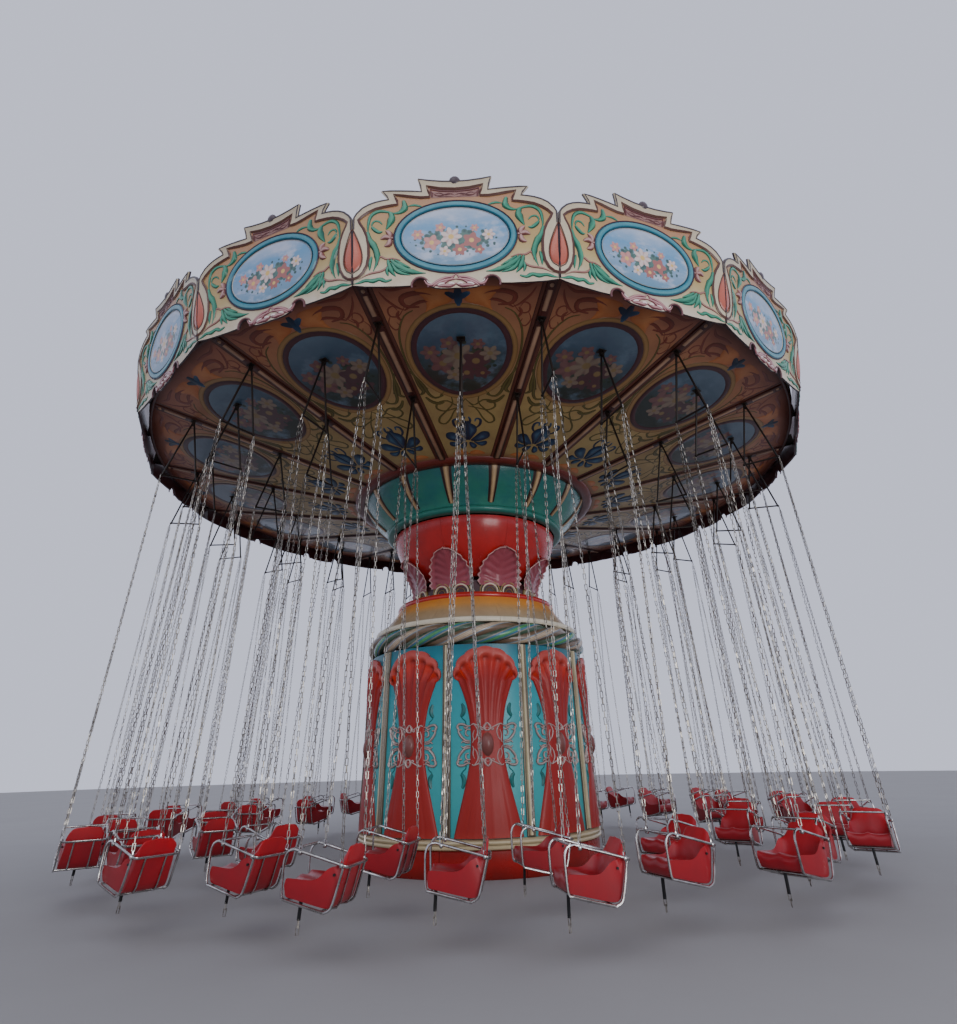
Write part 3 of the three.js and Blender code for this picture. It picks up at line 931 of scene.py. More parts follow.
# Both rope finishes turn dark where a strand faces the rope's core: painted shade between the strands.
ROPE_GREEN_CORE_SHADE = Paint(
    "rope green",
    (
        (0.0, "62a868"), (0.08, "4e9460"), (0.13, "4884a8"), (0.18, "3c6e94"), (0.24, "a89c88"),
        (0.3, "4c6050"), (1.0, "1c3024")),
    axis=Axis.ACROSS, rough=0.28, coat=0.3, shade="3c5c3c", mottle=0.35, patch=5.0)
ROPE_TAN_CORE_SHADE = Paint(
    "rope tan",
    (
        (0.0, "bca58a"), (0.06, "d6c4a8"), (0.1, "a88c70"), (0.15, "d2bfa4"), (0.2, "6c8ca0"),
        (0.26, "7a6450"), (1.0, "3c2e22")),
    axis=Axis.ACROSS, rough=0.3, shade="7a6248", mottle=0.35, coat=0.4)
CAP_TONES = Paint(
    "cap",
    (
        (0.0, "e0d4b8"), (0.13, "f0e6cc"), (0.145, "6a5c4c"), (0.16, "bca88a"), (0.45, "c8a474"),
        (0.64, "e49c48"), (0.8, "e08a34"), (1.0, "c47c3c")),
    span=(3.58, 4.21), shade="8c7458", mottle=0.25, rough=0.38, streaks=0.2)
CAP_RIM = Paint(
    "cap rim red", evenly("b8241c", "d03024"), span=(4.08, 4.22), rough=0.25, coat=0.5, shade="7c1614")
NECK_PLUM = Paint("neck plum", evenly("3c2424", "5e3038"), span=(4.2, 4.6), rough=0.4)
ARCH_CREAM = Paint(
    "arch cream", evenly("c4b48c", "ece0c0", "c4b48c"), axis=Axis.ACROSS, rough=0.32, shade="8a7350")
ARCH_GOLD = Paint(
    "arch gold", evenly("6a5428", "b49a54", "6a5428"), axis=Axis.ACROSS, rough=0.32, shade="4a3a14")
# Painted shade in the leaves' hollows and painted highlight on their ridges.
LEAF_PLUM = Paint(
    "leaf plum", ((0.0, "a04a54"), (0.4, "ac5660"), (0.7, "a0505a"), (0.85, "c08e8e"), (1.0, "e0b8ac")),
    axis=Axis.ALONG, rough=0.32, coat=0.15, shade="803440", mottle=0.3, hollow="642430", ridge_highlight="cc8c90")
BOWL_RED = Paint(
    "bowl red", evenly("b82826", "c42a26", "bc2624"), span=(4.6, 5.66), rough=0.24, coat=0.3,
    shade="7c1818", mottle=0.35, patch=3.0, ripple=0.005)
RIM_TEAL = Paint(
    "rim teal", evenly("246c60", "3c8c7c"), span=(5.67, 5.79), rough=0.32, coat=0.2, shade="14564c")
BOWL_GREEN = Paint(
    "bowl green", ((0.0, "3c8c78"), (0.3, "2c7a68"), (0.7, "246c60"), (1.0, "1c5c56")), span=(5.8, 6.45),
    rough=0.2, coat=0.35, shade="1c5c6c", mottle=0.45, patch=3.0, ripple=0.02)
# Dark at both edges and pale along the crest: painted shade and painted highlight on the ribs.
RIB_GOLD_LIT_AND_SHADED = Paint(
    "rib gold",
    (
        (0.0, "3a2a18"), (0.14, "6c5034"), (0.3, "a88a60"), (0.55, "c8aa80"), (0.86, "7a5c3c"),
        (1.0, "3a2a18")),
    axis=Axis.ACROSS, rough=0.38, shade="6a4a30")
BROWN_RED = Paint(
    "brown red ring", evenly("5a201a", "6e2a20"), axis=Axis.RADIUS, span=(2.4, 2.7), rough=0.35,
    shade="34100e")
CEILING_FIELD = Paint(
    "ceiling field",
    (
        (0.0, "86503c"), (0.04, "a08c5c"), (0.25, "a8925e"), (0.42, "a48a58"), (0.52, "9c8058"),
        (0.66, "98704e"), (0.84, "a06c4c"), (0.95, "965c46"), (1.0, "5c2c24")),
    axis=Axis.RADIUS, span=(2.65, 6.82), rough=0.42, mottle=0.35, patch=1.6, shade="604034", ripple=0.003,
    coat=0.1)
DARK_BROWN = Paint(
    "dark brown", evenly("2e1410", "4a2018"), axis=Axis.RADIUS, span=(2.6, 7.0), rough=0.4, shade="180c0a")
TAN_STRIP = Paint(
    "tan strip", ((0.0, "7c5c46"), (0.3, "a8846a"), (0.7, "a8846a"), (1.0, "7c5c46")), axis=Axis.ACROSS,
    rough=0.4, shade="5a3c28", mottle=0.4)
BATTEN_BAND = Paint(
    "batten bands", ((0.0, "2e120e"), (0.3, "5c3226"), (0.7, "643a2c"), (1.0, "2e120e")), axis=Axis.ACROSS,
    rough=0.4, shade="34180e", mottle=0.3)
OLIVE = Paint(
    "olive scrolls",
    ((0.0, "2a2412"), (0.25, "4c4420"), (0.5, "645c30"), (0.75, "4c4420"), (1.0, "2a2412")),
    axis=Axis.ACROSS, rough=0.42, shade="302a14")
OCHRE = Paint(
    "ochre line", ((0.0, "6c5030"), (0.4, "96744a"), (0.75, "8c6c42"), (1.0, "5a4424")), axis=Axis.ACROSS,
    rough=0.42, shade="80602e")
FLAME = Paint(
    "orange flames", ((0.0, "96582e"), (0.4, "b06a3a"), (1.0, "bc7c4a")), axis=Axis.ALONG, rough=0.42,
    shade="8a4420", mottle=0.4)
MAROON = Paint("maroon", evenly("40262a", "4c2c30", "3a2226"), axis=Axis.ACROSS, rough=0.4, shade="2c181c")
RUSSET = Paint(
    "russet swirls", ((0.0, "431c16"), (0.3, "703424"), (0.7, "7c3e30"), (1.0, "431c16")), axis=Axis.ACROSS,
    rough=0.42, shade="4a1c14")
FLOWER_BLUE = Paint(
    "flower blue", ((0.0, "101c2c"), (0.4, "14283e"), (0.75, "1c3c5a"), (1.0, "3c6078")), axis=Axis.ALONG,
    rough=0.4, shade="10243a")
CEILING_PICTURE = Garland(
    "ceiling picture", ((0.0, "22281f"), (0.3, "2c3836"), (0.65, "3c5062"), (1.0, "566a7a")),
    ("6e4c4a", "7c6c5c", "4c3236"), ("1f2a22", "344232"), aspect=0.84, heart="7a6642")
BOARD_PICTURE = Garland(
    "board picture", ((0.0, "5f8aa6"), (0.35, "7f9cba"), (0.65, "5f94bc"), (1.0, "b4bccf")),
    ("c48a84", "d4c2bc", "a0625c"), ("2c4a4c", "4e7068"), aspect=1.6)
BOARD_FIELD = Paint(
    "board field",
    (
        (0.0, "d4c8b8"), (0.2, "c8b896"), (0.34, "bca470"), (0.55, "b4945e"), (0.75, "b4845e"),
        (1.0, "a87462")),
    span=(6.84, 8.5), rough=0.4, mottle=0.35, patch=3.0, shade="a8925c", streaks=0.15)
BOARD_CREAM = Paint(
    "board cream", evenly("d0c4a8", "c2b498"), span=(6.9, 8.55), rough=0.35, mottle=0.25, shade="a8967c",
    streaks=0.2, dirt=0.4)
BOARD_EDGE = Paint(
    "board edge", evenly("40343a", "463c44"), span=(6.9, 8.6), rough=0.5, shade="2c2428", mottle=0.3)
BOARD_BACK = Paint(
    "board back", evenly("42181a", "3c1a1c"), span=(6.84, 8.6), rough=0.5, shade="220e10", mottle=0.4)
# Painted shadow along the inner step of the raised cream border and of the drops.
GROOVE_SHADOW = Paint(
    "board groove shadow", evenly("6a4438", "54302a", "6a4438"), axis=Axis.ACROSS, rough=0.5, shade="341c16")
MAROON_LINE = Paint(
    "recess line", evenly("6a3434", "5c2a2c", "6a3434"), axis=Axis.ACROSS, rough=0.45, shade="3a181a")
RECESS_MAUVE = Paint(
    "recess mauve", evenly("9a7468", "8c6460"), span=(8.2, 8.36), rough=0.4, shade="6c4844", mottle=0.4)
LILY = Paint(
    "lily", ((0.0, "5a3030"), (0.22, "90605c"), (0.5, "c4a098"), (0.78, "90605c"), (1.0, "5a3030")),
    axis=Axis.ACROSS, rough=0.35, shade="7a4c48")
# Painted highlights on the foot ribbon.
RIBBON_HIGHLIGHT = Paint(
    "ribbon lights", evenly("c8a4a0", "f0e6e0", "c8a4a0"), axis=Axis.ACROSS, rough=0.3, shade="c0a09c")
FRAME_NAVY = Paint(
    "frame inner line", evenly("1c3c4c", "24485a"), span=(7.0, 8.2), rough=0.35, shade="122a38")
# Dark at both edges, partly a painted outline and partly painted shade, with a painted highlight along the
# crest.
SCROLL_GREEN_LIT_AND_SHADED = Paint(
    "scroll green",
    (
        (0.0, "0e3430"), (0.16, "1c5c4c"), (0.34, "348468"), (0.62, "4c9c7c"), (0.84, "2c7458"),
        (1.0, "0e3430")),
    axis=Axis.ACROSS, rough=0.3, coat=0.2, shade="1f5c50", mottle=0.35, patch=6.0)
STEM_PINK = Paint(
    "stem pink", ((0.0, "6a3a38"), (0.3, "8c5c58"), (0.6, "b08478"), (1.0, "6a3a38")), axis=Axis.ACROSS,
    rough=0.35, shade="8a5a50")
FRAME_TEAL = Paint(
    "frame teal", ((0.0, "2c6c80"), (0.3, "3c8496"), (0.6, "54949c"), (1.0, "347488")), axis=Axis.ACROSS,
    rough=0.3, coat=0.2, shade="2c6480", mottle=0.35, patch=4.0)
FRAME_LINE = Paint("frame line", evenly("5c3c4c", "604456"), span=(7.0, 8.2), rough=0.4, shade="3c2434")
RIBBON_PINK = Paint(
    "ribbon", ((0.0, "6a3038"), (0.3, "a06c70"), (0.5, "c8a09c"), (0.7, "a06c70"), (1.0, "6a3038")),
    axis=Axis.ACROSS, rough=0.32, coat=0.2, shade="8a5058")
MAUVE = Paint(
    "mauve flourish", evenly("543034", "7c5052", "543034"), axis=Axis.ACROSS, rough=0.35, shade="4a282c")
SALMON = Paint(
    "salmon drop", ((0.0, "b85c48"), (0.6, "c06a56"), (1.0, "b87468")), span=(7.1, 7.75), rough=0.3,
    coat=0.3, shade="8c3a2a", mottle=0.3)
KNOB = Paint("crest knob", evenly("40343a", "5c4c52"), span=(8.4, 8.6), rough=0.35, shade="241c20")
ROOF_SHEET = Paint(
    "roof sheet", evenly("8c867a", "a09a8e", "a8a296"), axis=Axis.RADIUS, span=(0.3, 6.9), rough=0.6,
    coat=0.0, shade="6a645a", mottle=0.4, dirt=0.6)
ROOF_SEAM = Paint(
    "roof seams", evenly("6e685e", "7c766a"), axis=Axis.RADIUS, span=(0.3, 6.9), rough=0.6, coat=0.0)
MAST_STEEL = Paint(
    "mast steel", evenly("3c3834", "4a4642"), span=(0.4, 6.0), rough=0.45, metal=0.4, shade="2a2018",
    dirt=0.6, coat=0.0)
BLACK_STEEL = Paint(
    "black steel", evenly("16120f", "221c18"), axis=Axis.RADIUS, span=(2.0, 7.0), rough=0.45, metal=0.3,
    shade="3a2214", coat=0.0, dirt=0.3)
# Darker low on the seat and brighter high up: painted shade underneath and painted light on top.
CHAIR_RED_SHADED_BELOW = Paint(
    "chair red", ((0.0, "8c1820"), (0.45, "9c1c24"), (0.75, "b41c24"), (1.0, "bc2026")), span=(0.38, 0.9),
    rough=0.36, coat=0.12, shade="741820", mottle=0.35, patch=5.0, dirt=0.2, ripple=0.0)
SLEEVE = Paint(
    "latch sleeve", evenly("0c0c0d", "161618"), span=(0.3, 0.5), rough=0.6, coat=0.0, shade="242428",
    mottle=0.4)
CHROME = Metal("tube frame chrome", "c8c6c4", "8c8884", (0.16, 0.36), 8.0)
CHAIN = Metal("chain galvanised", "b4aea4", "6c665c", (0.28, 0.45), 30.0)


def on_column(radius: float) -> Callable[[Vector], Vector]:
    """Gives the way to lay relief on a round column.

    Args:
        radius: of the column.

    Returns:
        What takes a flat point to its place in a bay's own frame.
    """
    def place(flat: Vector) -> Vector:
        """Bends one point round the column."""
        angle = flat.x / radius
        reach = radius + flat.z
        return Vector((reach * math.cos(angle), reach * math.sin(angle), flat.y))
    return place


@dataclass
class Plinth(Assembly):
    """Red drum on the ground, with its cream double moulding and the mast's guide tube."""

    radius: float = 2.08
    top: float = 0.345
    panels: int = 20
    joint: float = 0.008
    moulding: Outline = (
        (2.0, 0.346), (2.1, 0.346), (2.125, 0.36), (2.13, 0.378), (2.12, 0.395), (2.1, 0.405),
        (2.112, 0.415), (2.122, 0.432), (2.116, 0.452), (2.09, 0.466), (2.07, 0.479), (2.0, 0.479))
    guide: Outline = ((0.905, 0.42), (0.985, 0.42), (0.985, 3.9), (0.905, 3.9))

    def build(self) -> None:
        """Makes the drum's panels, the moulding and the guide tube."""
        outer, top = self.radius, self.top
        drum = Form().lathe(
            [
                (outer - 0.06, 0.001), (outer - 0.006, 0.001), (outer, 0.012), (outer, top - 0.014),
                (outer - 0.012, top), (outer - 0.06, top)],
            8, 360 / self.panels - math.degrees(self.joint / outer))
        drum.around(self.panels, 3.0)
        drum.lathe([(0.01, 0.001), (outer - 0.02, 0.001), (outer - 0.02, top), (0.01, top)], paint=1)
        drum.lathe(self.guide, 64, paint=1)
        self.add("plinth_drum", drum, "red_paint", PLINTH_RED, MAST_STEEL, replaces=("base_plinth",))
        self.add("plinth_moulding", Form().lathe(self.moulding, 160), "cream_paint", CREAM)


@dataclass
class Column(Assembly):
    """Turquoise column with ten red shell pilasters, scrollwork, and cream poles between."""

    radius: float = 2.06
    foot: float = 0.481
    top: float = 3.199
    count: int = 10
    start: float = 5.6
    waist: Outline = (
        (0.49, 0.53), (0.7, 0.475), (0.95, 0.405), (1.2, 0.335), (1.45, 0.28), (1.72, 0.255), (1.9, 0.26),
        (2.05, 0.275), (2.25, 0.315), (2.45, 0.385), (2.62, 0.455))
    flutes: float = 3.5
    shoulder: float = 0.74
    fan: tuple[float, float, float] = (0.525, 0.43, 2.71)
    fan_spread: float = 100.0
    fluting: Outline = ((0.49, 0.12), (1.0, 0.05), (1.9, 0.06), (2.2, 0.35), (2.62, 1.0))
    medallion: float = 1.70

    def shell_point(self, s: float, t: float) -> Vector:
        """Gives a point of a shell, with s across from -1 to 1 and t up from 0 to 1."""
        foot, neck = self.waist[0][0], self.waist[-1][0]
        across, high, middle = self.fan
        lobe = abs(math.cos(self.flutes * math.pi * s))
        z = foot + min(t / self.shoulder, 1.0) * (neck - foot)
        fan = self.fan_share(t)
        angle = math.radians(self.fan_spread) * s
        reach = 1 + 0.085 * (math.sqrt(lobe) - 0.6)
        edge = Vector((across * math.sin(angle) * reach, middle + high * math.cos(angle) * reach))
        point = Vector((s * between(z, self.waist), z)).lerp(edge, fan)
        arch = 0.62 + 0.1 * lobe
        rim = between(fan, ((arch, 0.0), (arch + 0.06, 1.0), (0.93, 0.7), (1.0, 0.1)))
        hollow = between(fan, ((0.0, 0.0), (arch - 0.3, 0.9), (arch, 1.0), (arch + 0.06, 0.0)))
        proud = 0.034 + 0.018 * (1 - s * s) + 0.034 * between(z, self.fluting) * (1 - lobe) ** 1.4
        proud += 0.012 * between(z, ((0.5, 1.0), (1.3, 0.0))) * (abs(s) < 0.62)
        proud += 0.034 * rim * (lobe**0.6 - 0.3) - 0.036 * hollow * lobe**0.6
        return Vector((point.x, point.y, proud * (1 - 0.85 * s**16)))

    def fan_share(self, t: float) -> float:
        """Gives how far a shell's fan has opened, from 0 at its shoulder to 1 at its edge."""
        return max(t - self.shoulder, 0.0) / (1 - self.shoulder)

    def shell(self) -> Form:
        """Makes one pilaster: a fluted patch whose border runs back into the panel."""
        form = Form()
        bmesh.ops.create_grid(form.bm, x_segments=48, y_segments=42, size=1)
        for vert in form.bm.verts:
            s, t = vert.co.x, 1 - ((1 - vert.co.y) / 2) ** 1.3
            vert.co = self.shell_point(s, t)
            vert[form.along] = between(self.fan_share(t), ((0.0, 0.0), (0.66, 0.4), (0.8, 0.8), (1.0, 1.0)))
        border = [edge for edge in form.bm.edges if edge.is_boundary]
        made = bmesh.ops.extrude_edge_only(form.bm, edges=border)["geom"]
        rim = [g for g in made if isinstance(g, bmesh.types.BMVert)]
        for vert in rim:
            vert.co.z = -0.01
        back = [e for e in made if isinstance(e, bmesh.types.BMEdge) and e.is_boundary]
        bmesh.ops.holes_fill(form.bm, edges=back, sides=0)
        return form

    def build(self) -> None:
        """Makes the panels and everything on them."""
        inner, outer = 2.0, self.radius
        ground = on_column(outer)
        wall = Form().lathe(
            [(inner, self.foot), (outer, self.foot), (outer, self.top), (inner, self.top)], 160)
        self.add("column_panels", wall, "turquoise_paint", TURQUOISE_SHADED_AT_TOP, replaces=("column_cladding",))
        shells = self.shell().laid(ground).around(self.count, self.start)
        self.add("pilaster_shells", shells, "red_paint", SHELL_RED, smooth=60)
        self.build_medallions(ground)
        self.build_brackets(ground)
        self.build_poles(ground)

    def build_medallions(self, ground: Callable[[Vector], Vector]) -> None:
        """Makes the brown ovals at the waists."""
        form = Form().dome(oval(0.1, 0.17, (0, self.medallion), 28), 0.03, 0.12, 6)
        self.add("waist_medallions", form.laid(ground).around(self.count, self.start), "red_paint", MEDALLION)

    def build_brackets(self, ground: Callable[[Vector], Vector]) -> None:
        """Makes the silver frames round the waists, and the small leaves beside them."""
        m = self.medallion
        scrolls = (
            (((0.0, 0.235), (0.06, 0.225), (0.13, 0.255), (0.21, 0.285), (0.245, 0.27)), 0.024, 0.045),
            (((0.21, 0.285), (0.165, 0.23), (0.15, 0.17), (0.17, 0.1), (0.2, 0.06)), 0.022, 0.045),
            (((0.2, 0.2), (0.225, 0.13), (0.215, 0.06), (0.235, 0.02)), 0.018, 0.04),
            (((0.0, 0.3), (0.028, 0.275), (0.05, 0.235), (0.03, 0.2), (0.0, 0.19)), 0.034, 0.055),
            (((0.05, 0.215), (0.085, 0.2), (0.1, 0.225)), 0.024, 0.05),
            (
                (
                    (0.25, 0.262), (0.31, 0.255), (0.37, 0.28), (0.44, 0.285), (0.475, 0.25), (0.45, 0.205),
                    (0.4, 0.205)),
                0.03, 0.014),
            (((0.455, 0.25), (0.45, 0.17), (0.4, 0.1), (0.34, 0.055), (0.27, 0.045)), 0.034, 0.014),
            (((0.26, 0.2), (0.31, 0.21), (0.34, 0.175), (0.33, 0.13), (0.29, 0.12)), 0.024, 0.014),
            (((0.3, 0.245), (0.335, 0.225), (0.37, 0.245)), 0.024, 0.016),
            (((0.27, 0.02), (0.33, 0.025), (0.38, 0.045), (0.41, 0.02)), 0.022, 0.014))
        form = Form()
        for points, width, base in scrolls:
            for flip in (1, -1):
                path = [(u, m + flip * v) for u, v in points]
                form.stroke(path, swelling(1.35 * width, 0.5), 0.6, ground=base)
        form.mirrored().laid(ground).around(self.count, self.start)
        self.add("scroll_brackets", form, "gold_paint", SILVER_SCROLL_SHADED_EDGES)
        leaves = Form()
        stem = ((0.335, 0.285), (0.345, 0.33), (0.39, 0.365), (0.42, 0.41))
        blade = ((0.415, 0.395), (0.375, 0.45), (0.372, 0.52), (0.4, 0.585))
        for flip in (1, -1):
            leaves.stroke([(u, m + flip * v) for u, v in stem], 0.016, 0.4, ground=0.002)
            leaves.stroke([(u, m + flip * v) for u, v in blade], petal_width(0.085), 0.22, ground=0.002)
        leaves.mirrored().laid(ground).around(self.count, self.start)
        self.add("column_leaves", leaves, "turquoise_paint", SMALL_LEAF)

    def build_poles(self, ground: Callable[[Vector], Vector]) -> None:
        """Makes the flat strips and the half-round poles between the pilasters."""
        half, foot, top = 0.068, self.foot + 0.004, self.top - 0.002
        strip = Form().plate([[(-half, foot), (half, foot), (half, top), (-half, top)]], -0.005, 0.022, 0.008)
        bmesh.ops.subdivide_edges(strip.bm, edges=strip.bm.edges[:], cuts=1)
        strip.laid(ground).around(self.count, self.start + 180 / self.count)
        self.add("pole_strips", strip, "cream_paint", POLE_STRIP)
        pole = Form().stroke(
            [(0, foot + 0.02), (0, 1.8), (0, top - 0.01)], 0.092, 0.5, Section.ROUND, 1, ground=0.024)
        for side in (-0.058, 0.058):
            pole.stroke(
                [(side, foot + 0.01), (side, 1.8), (side, top - 0.005)], 0.014, 0.7, Section.RIDGE, 1,
                ground=0.022)
        pole.laid(ground).around(self.count, self.start + 180 / self.count)
        self.add("panel_poles", pole, "cream_paint", POLE_CREAM_LIT_ON_ONE_SIDE)


@dataclass
class RopeMoulding(Assembly):
    """Thick four-strand rope that rings the column's top."""

    ring: float = 1.965
    height: float = 3.39
    offset: float = 0.086
    strand: float = 0.106
    turns: int = 5
    stations: int = 160

    def strand_path(self, phase: float) -> list[Matrix]:
        """Gives the places of a strand's section, its first point turned away from the rope's core."""
        places = []
        for i in range(self.stations):
            angle = 2 * math.pi * i / self.stations
            roll = phase + self.turns * angle
            out = Vector((math.cos(angle), math.sin(angle), 0))
            along = Vector((-math.sin(angle), math.cos(angle), 0))
            away = out * math.cos(roll) + Vector((0, 0, math.sin(roll)))
            middle = out * self.ring + Vector((0, 0, self.height)) + away * self.offset
            lean = along * self.ring + along.cross(away) * self.offset * self.turns
            ahead = lean.normalized()
            places.append(placed(away * self.strand, ahead.cross(away) * self.strand, ahead, middle))
        return places

    def build(self) -> None:
        """Makes the green and the tan strands, two of each."""
        # A strand's across share runs from 0 on its outer face to 1 where it faces the rope's core, where the
        # finishes paint shade.
        section = [(x, y, 1 - abs(1 - 2 * share)) for x, y, share in polygon(14)]
        for name, first, finish in (
            ("rope_green_strands", 0.0, ROPE_GREEN_CORE_SHADE), ("rope_tan_strands", 0.5, ROPE_TAN_CORE_SHADE)):
            form = Form()
            for half in (0, 1):
                form.sweep(section, self.strand_path(math.pi * (first + half)), closed=True)
            replaced = ("rope_moulding",) if first == 0.0 else ()
            self.add(name, form, "rope_paint", finish, replaces=replaced, smooth=80)


@dataclass
class SteppedCap(Assembly):
    """Cream band, tan cone and round red rim over the rope."""

    band: float = 2.02
    foot: float = 3.581
    rim: float = 1.6
    panels: int = 10

    def build(self) -> None:
        """Makes the cap's panels and its rim."""
        outline = [
            (1.88, self.foot), (self.band - 0.01, self.foot), (self.band, self.foot + 0.012),
            (self.band, 3.652), (self.band - 0.012, 3.668), (1.935, 3.672), (1.922, 3.682), (1.91, 3.70),
            (1.87, 3.74), (1.8, 3.82), (1.73, 3.90), (1.665, 3.985), (1.62, 4.06), (1.602, 4.105),
            (1.56, 4.105), (1.86, 3.66)]
        cone = Form().lathe(outline, 12, 360 / self.panels - 0.12).around(self.panels, 14.0)
        cone.lathe(
            [
                (1.86, self.foot + 0.004), (1.9, self.foot + 0.004), (1.9, 3.67), (1.58, 4.1), (1.55, 4.1),
                (1.55, 4.06)],
            96)
        self.add("cap_cone", cone, "tan_paint", CAP_TONES, replaces=("stepped_cap",))
        rim = arc((self.rim - 0.05, 4.144), 0.066, 0.064, 30, range(-4, 4))
        plate = [*rim, (0.921, 4.209), (0.921, 4.19), (1.5, 4.17)]
        self.add("cap_rim", Form().lathe(plate, 128), "red_paint", CAP_RIM)


@dataclass
class LeafCollar(Assembly):
    """Neck over the cap with sixteen arches, and eight curling leaves under the bowl."""

    neck: float = 1.25
    foot: float = 4.2105
    leaves: int = 8
    start: float = 24.0
    rise: Outline = (
        (1.262, 4.40), (1.268, 4.50), (1.285, 4.60), (1.33, 4.71), (1.395, 4.82), (1.475, 4.93),
        (1.555, 5.03), (1.6, 5.085))
    spread: Outline = (
        (0.0, 0.44), (0.25, 0.445), (0.42, 0.425), (0.56, 0.385), (0.7, 0.315), (0.82, 0.23), (0.92, 0.135),
        (1.0, 0.02))
    ribs: int = 11

    def leaf_point(self, s: float, t: float) -> tuple[Vector, float]:
        """Gives a leaf's point with s across and t up, and how near it is to the leaf's edge."""
        spine = self.spine
        place = t * (len(spine) - 1)
        index = min(int(place), len(spine) - 2)
        middle = spine[index].lerp(spine[index + 1], place - index)
        ahead = (spine[index + 1] - spine[index]).normalized()
        out = Vector((ahead.y, -ahead.x))
        ruffle = math.sin(2 * math.pi * (self.ribs * (t - 0.22 * abs(s)) * 0.6))
        wide = between(t, self.spread) * (1 + 0.06 * ruffle * abs(s))
        side = s * wide
        hug = -(side**2) / (2 * 1.35) + 0.014 * ruffle * abs(s) ** 0.7
        hug += 0.016 * math.exp(-((s / 0.06) ** 2))
        hug += 0.06 * max(abs(s) - 0.8, 0.0) / 0.2
        shift = out * hug
        return Vector((middle.x + shift.x, side, middle.y + shift.y)), max(abs(s) ** 4, t**8)

    def leaf(self) -> Form:
        """Makes one leaf, ribbed and ruffled to its edges, and gives it its thickness."""
        form = Form()
        bmesh.ops.create_grid(form.bm, x_segments=18, y_segments=38, size=1)
        for vert in form.bm.verts:
            point, edge = self.leaf_point(vert.co.x, (vert.co.y + 1) / 2)
            vert.co = point
            vert[form.along] = edge
        bmesh.ops.recalc_face_normals(form.bm, faces=form.bm.faces)
        bmesh.ops.solidify(form.bm, geom=form.bm.faces[:], thickness=0.014)
        return form

    def build(self) -> None:
        """Makes the neck, the arches and the leaves."""
        self.body = "lift"
        self.spine = [p.to_2d() for p in curve(self.rise, 3)]
        ground = on_column(self.neck)
        neck = Form().lathe(
            [
                (0.9005, self.foot), (self.neck + 0.02, self.foot), (self.neck + 0.02, 4.235),
                (self.neck, 4.25), (self.neck, 4.5), (self.neck - 0.03, 4.5), (self.neck - 0.03, 4.25),
                (0.9005, 4.25)],
            96)
        self.add("neck_drum", neck, "leaf_paint", NECK_PLUM, replaces=("leaf_collar",))
        half = 0.193
        arches, gold, balls = Form(), Form(), Form()
        for side in (-1, 1):
            middle = side * (half + 0.012)
            for form, radius, width, high in ((arches, half - 0.045, 0.042, 4.27), (gold, half, 0.03, 4.28)):
                bow = arc((middle, high + 0.02), radius, 0.95 * radius, 15, range(-1, 14))
                form.stroke(bow, width, 0.8, Section.ROUND, 1)
            gold.stroke(arc((middle, 4.275), 0.085, 0.085, 22.5, range(9)), 0.02, 0.7, Section.RIDGE, 1)
        for u in (0.0, 2 * half + 0.06):
            balls.ball(0.032, (u, 4.285, 0.02))
        for name, form, finish in (
            ("neck_arches", arches, ARCH_CREAM), ("neck_arch_lines", gold, ARCH_GOLD),
            ("neck_balls", balls, ARCH_CREAM)):
            form.laid(ground).around(self.leaves, self.start)
            self.add(name, form, "cream_paint", finish)
        self.add(
            "collar_leaves", self.leaf().around(self.leaves, self.start), "leaf_paint", LEAF_PLUM,
            smooth=70)


@dataclass
class RedBowl(Assembly):
    """Glossy red bowl on the mast, in eight shells."""

    profile: Outline = (
        (1.16, 4.6), (1.29, 4.77), (1.44, 4.96), (1.56, 5.14), (1.65, 5.31), (1.71, 5.46), (1.738, 5.57),
        (1.744, 5.654))
    wall: float = 0.028
    shells: int = 8

    def build(self) -> None:
        """Makes the shells and the disc that holds them to the mast."""
        self.body = "lift"
        outer = [p.to_2d() for p in curve(self.profile, 3)]
        inner = [(p.x - self.wall, p.y + 0.004) for p in reversed(outer[:-1])]
        inner.insert(0, (outer[-1].x - self.wall, outer[-1].y))
        form = Form().lathe([*outer, *inner], 14, 360 / self.shells - 0.12).around(self.shells, 24.0)
        form.lathe([(0.9005, 4.602), (1.15, 4.602), (1.15, 4.63), (0.9005, 4.63)], 64)
        self.add("red_bowl_shells", form, "red_gloss", BOWL_RED, replaces=("red_bowl",))


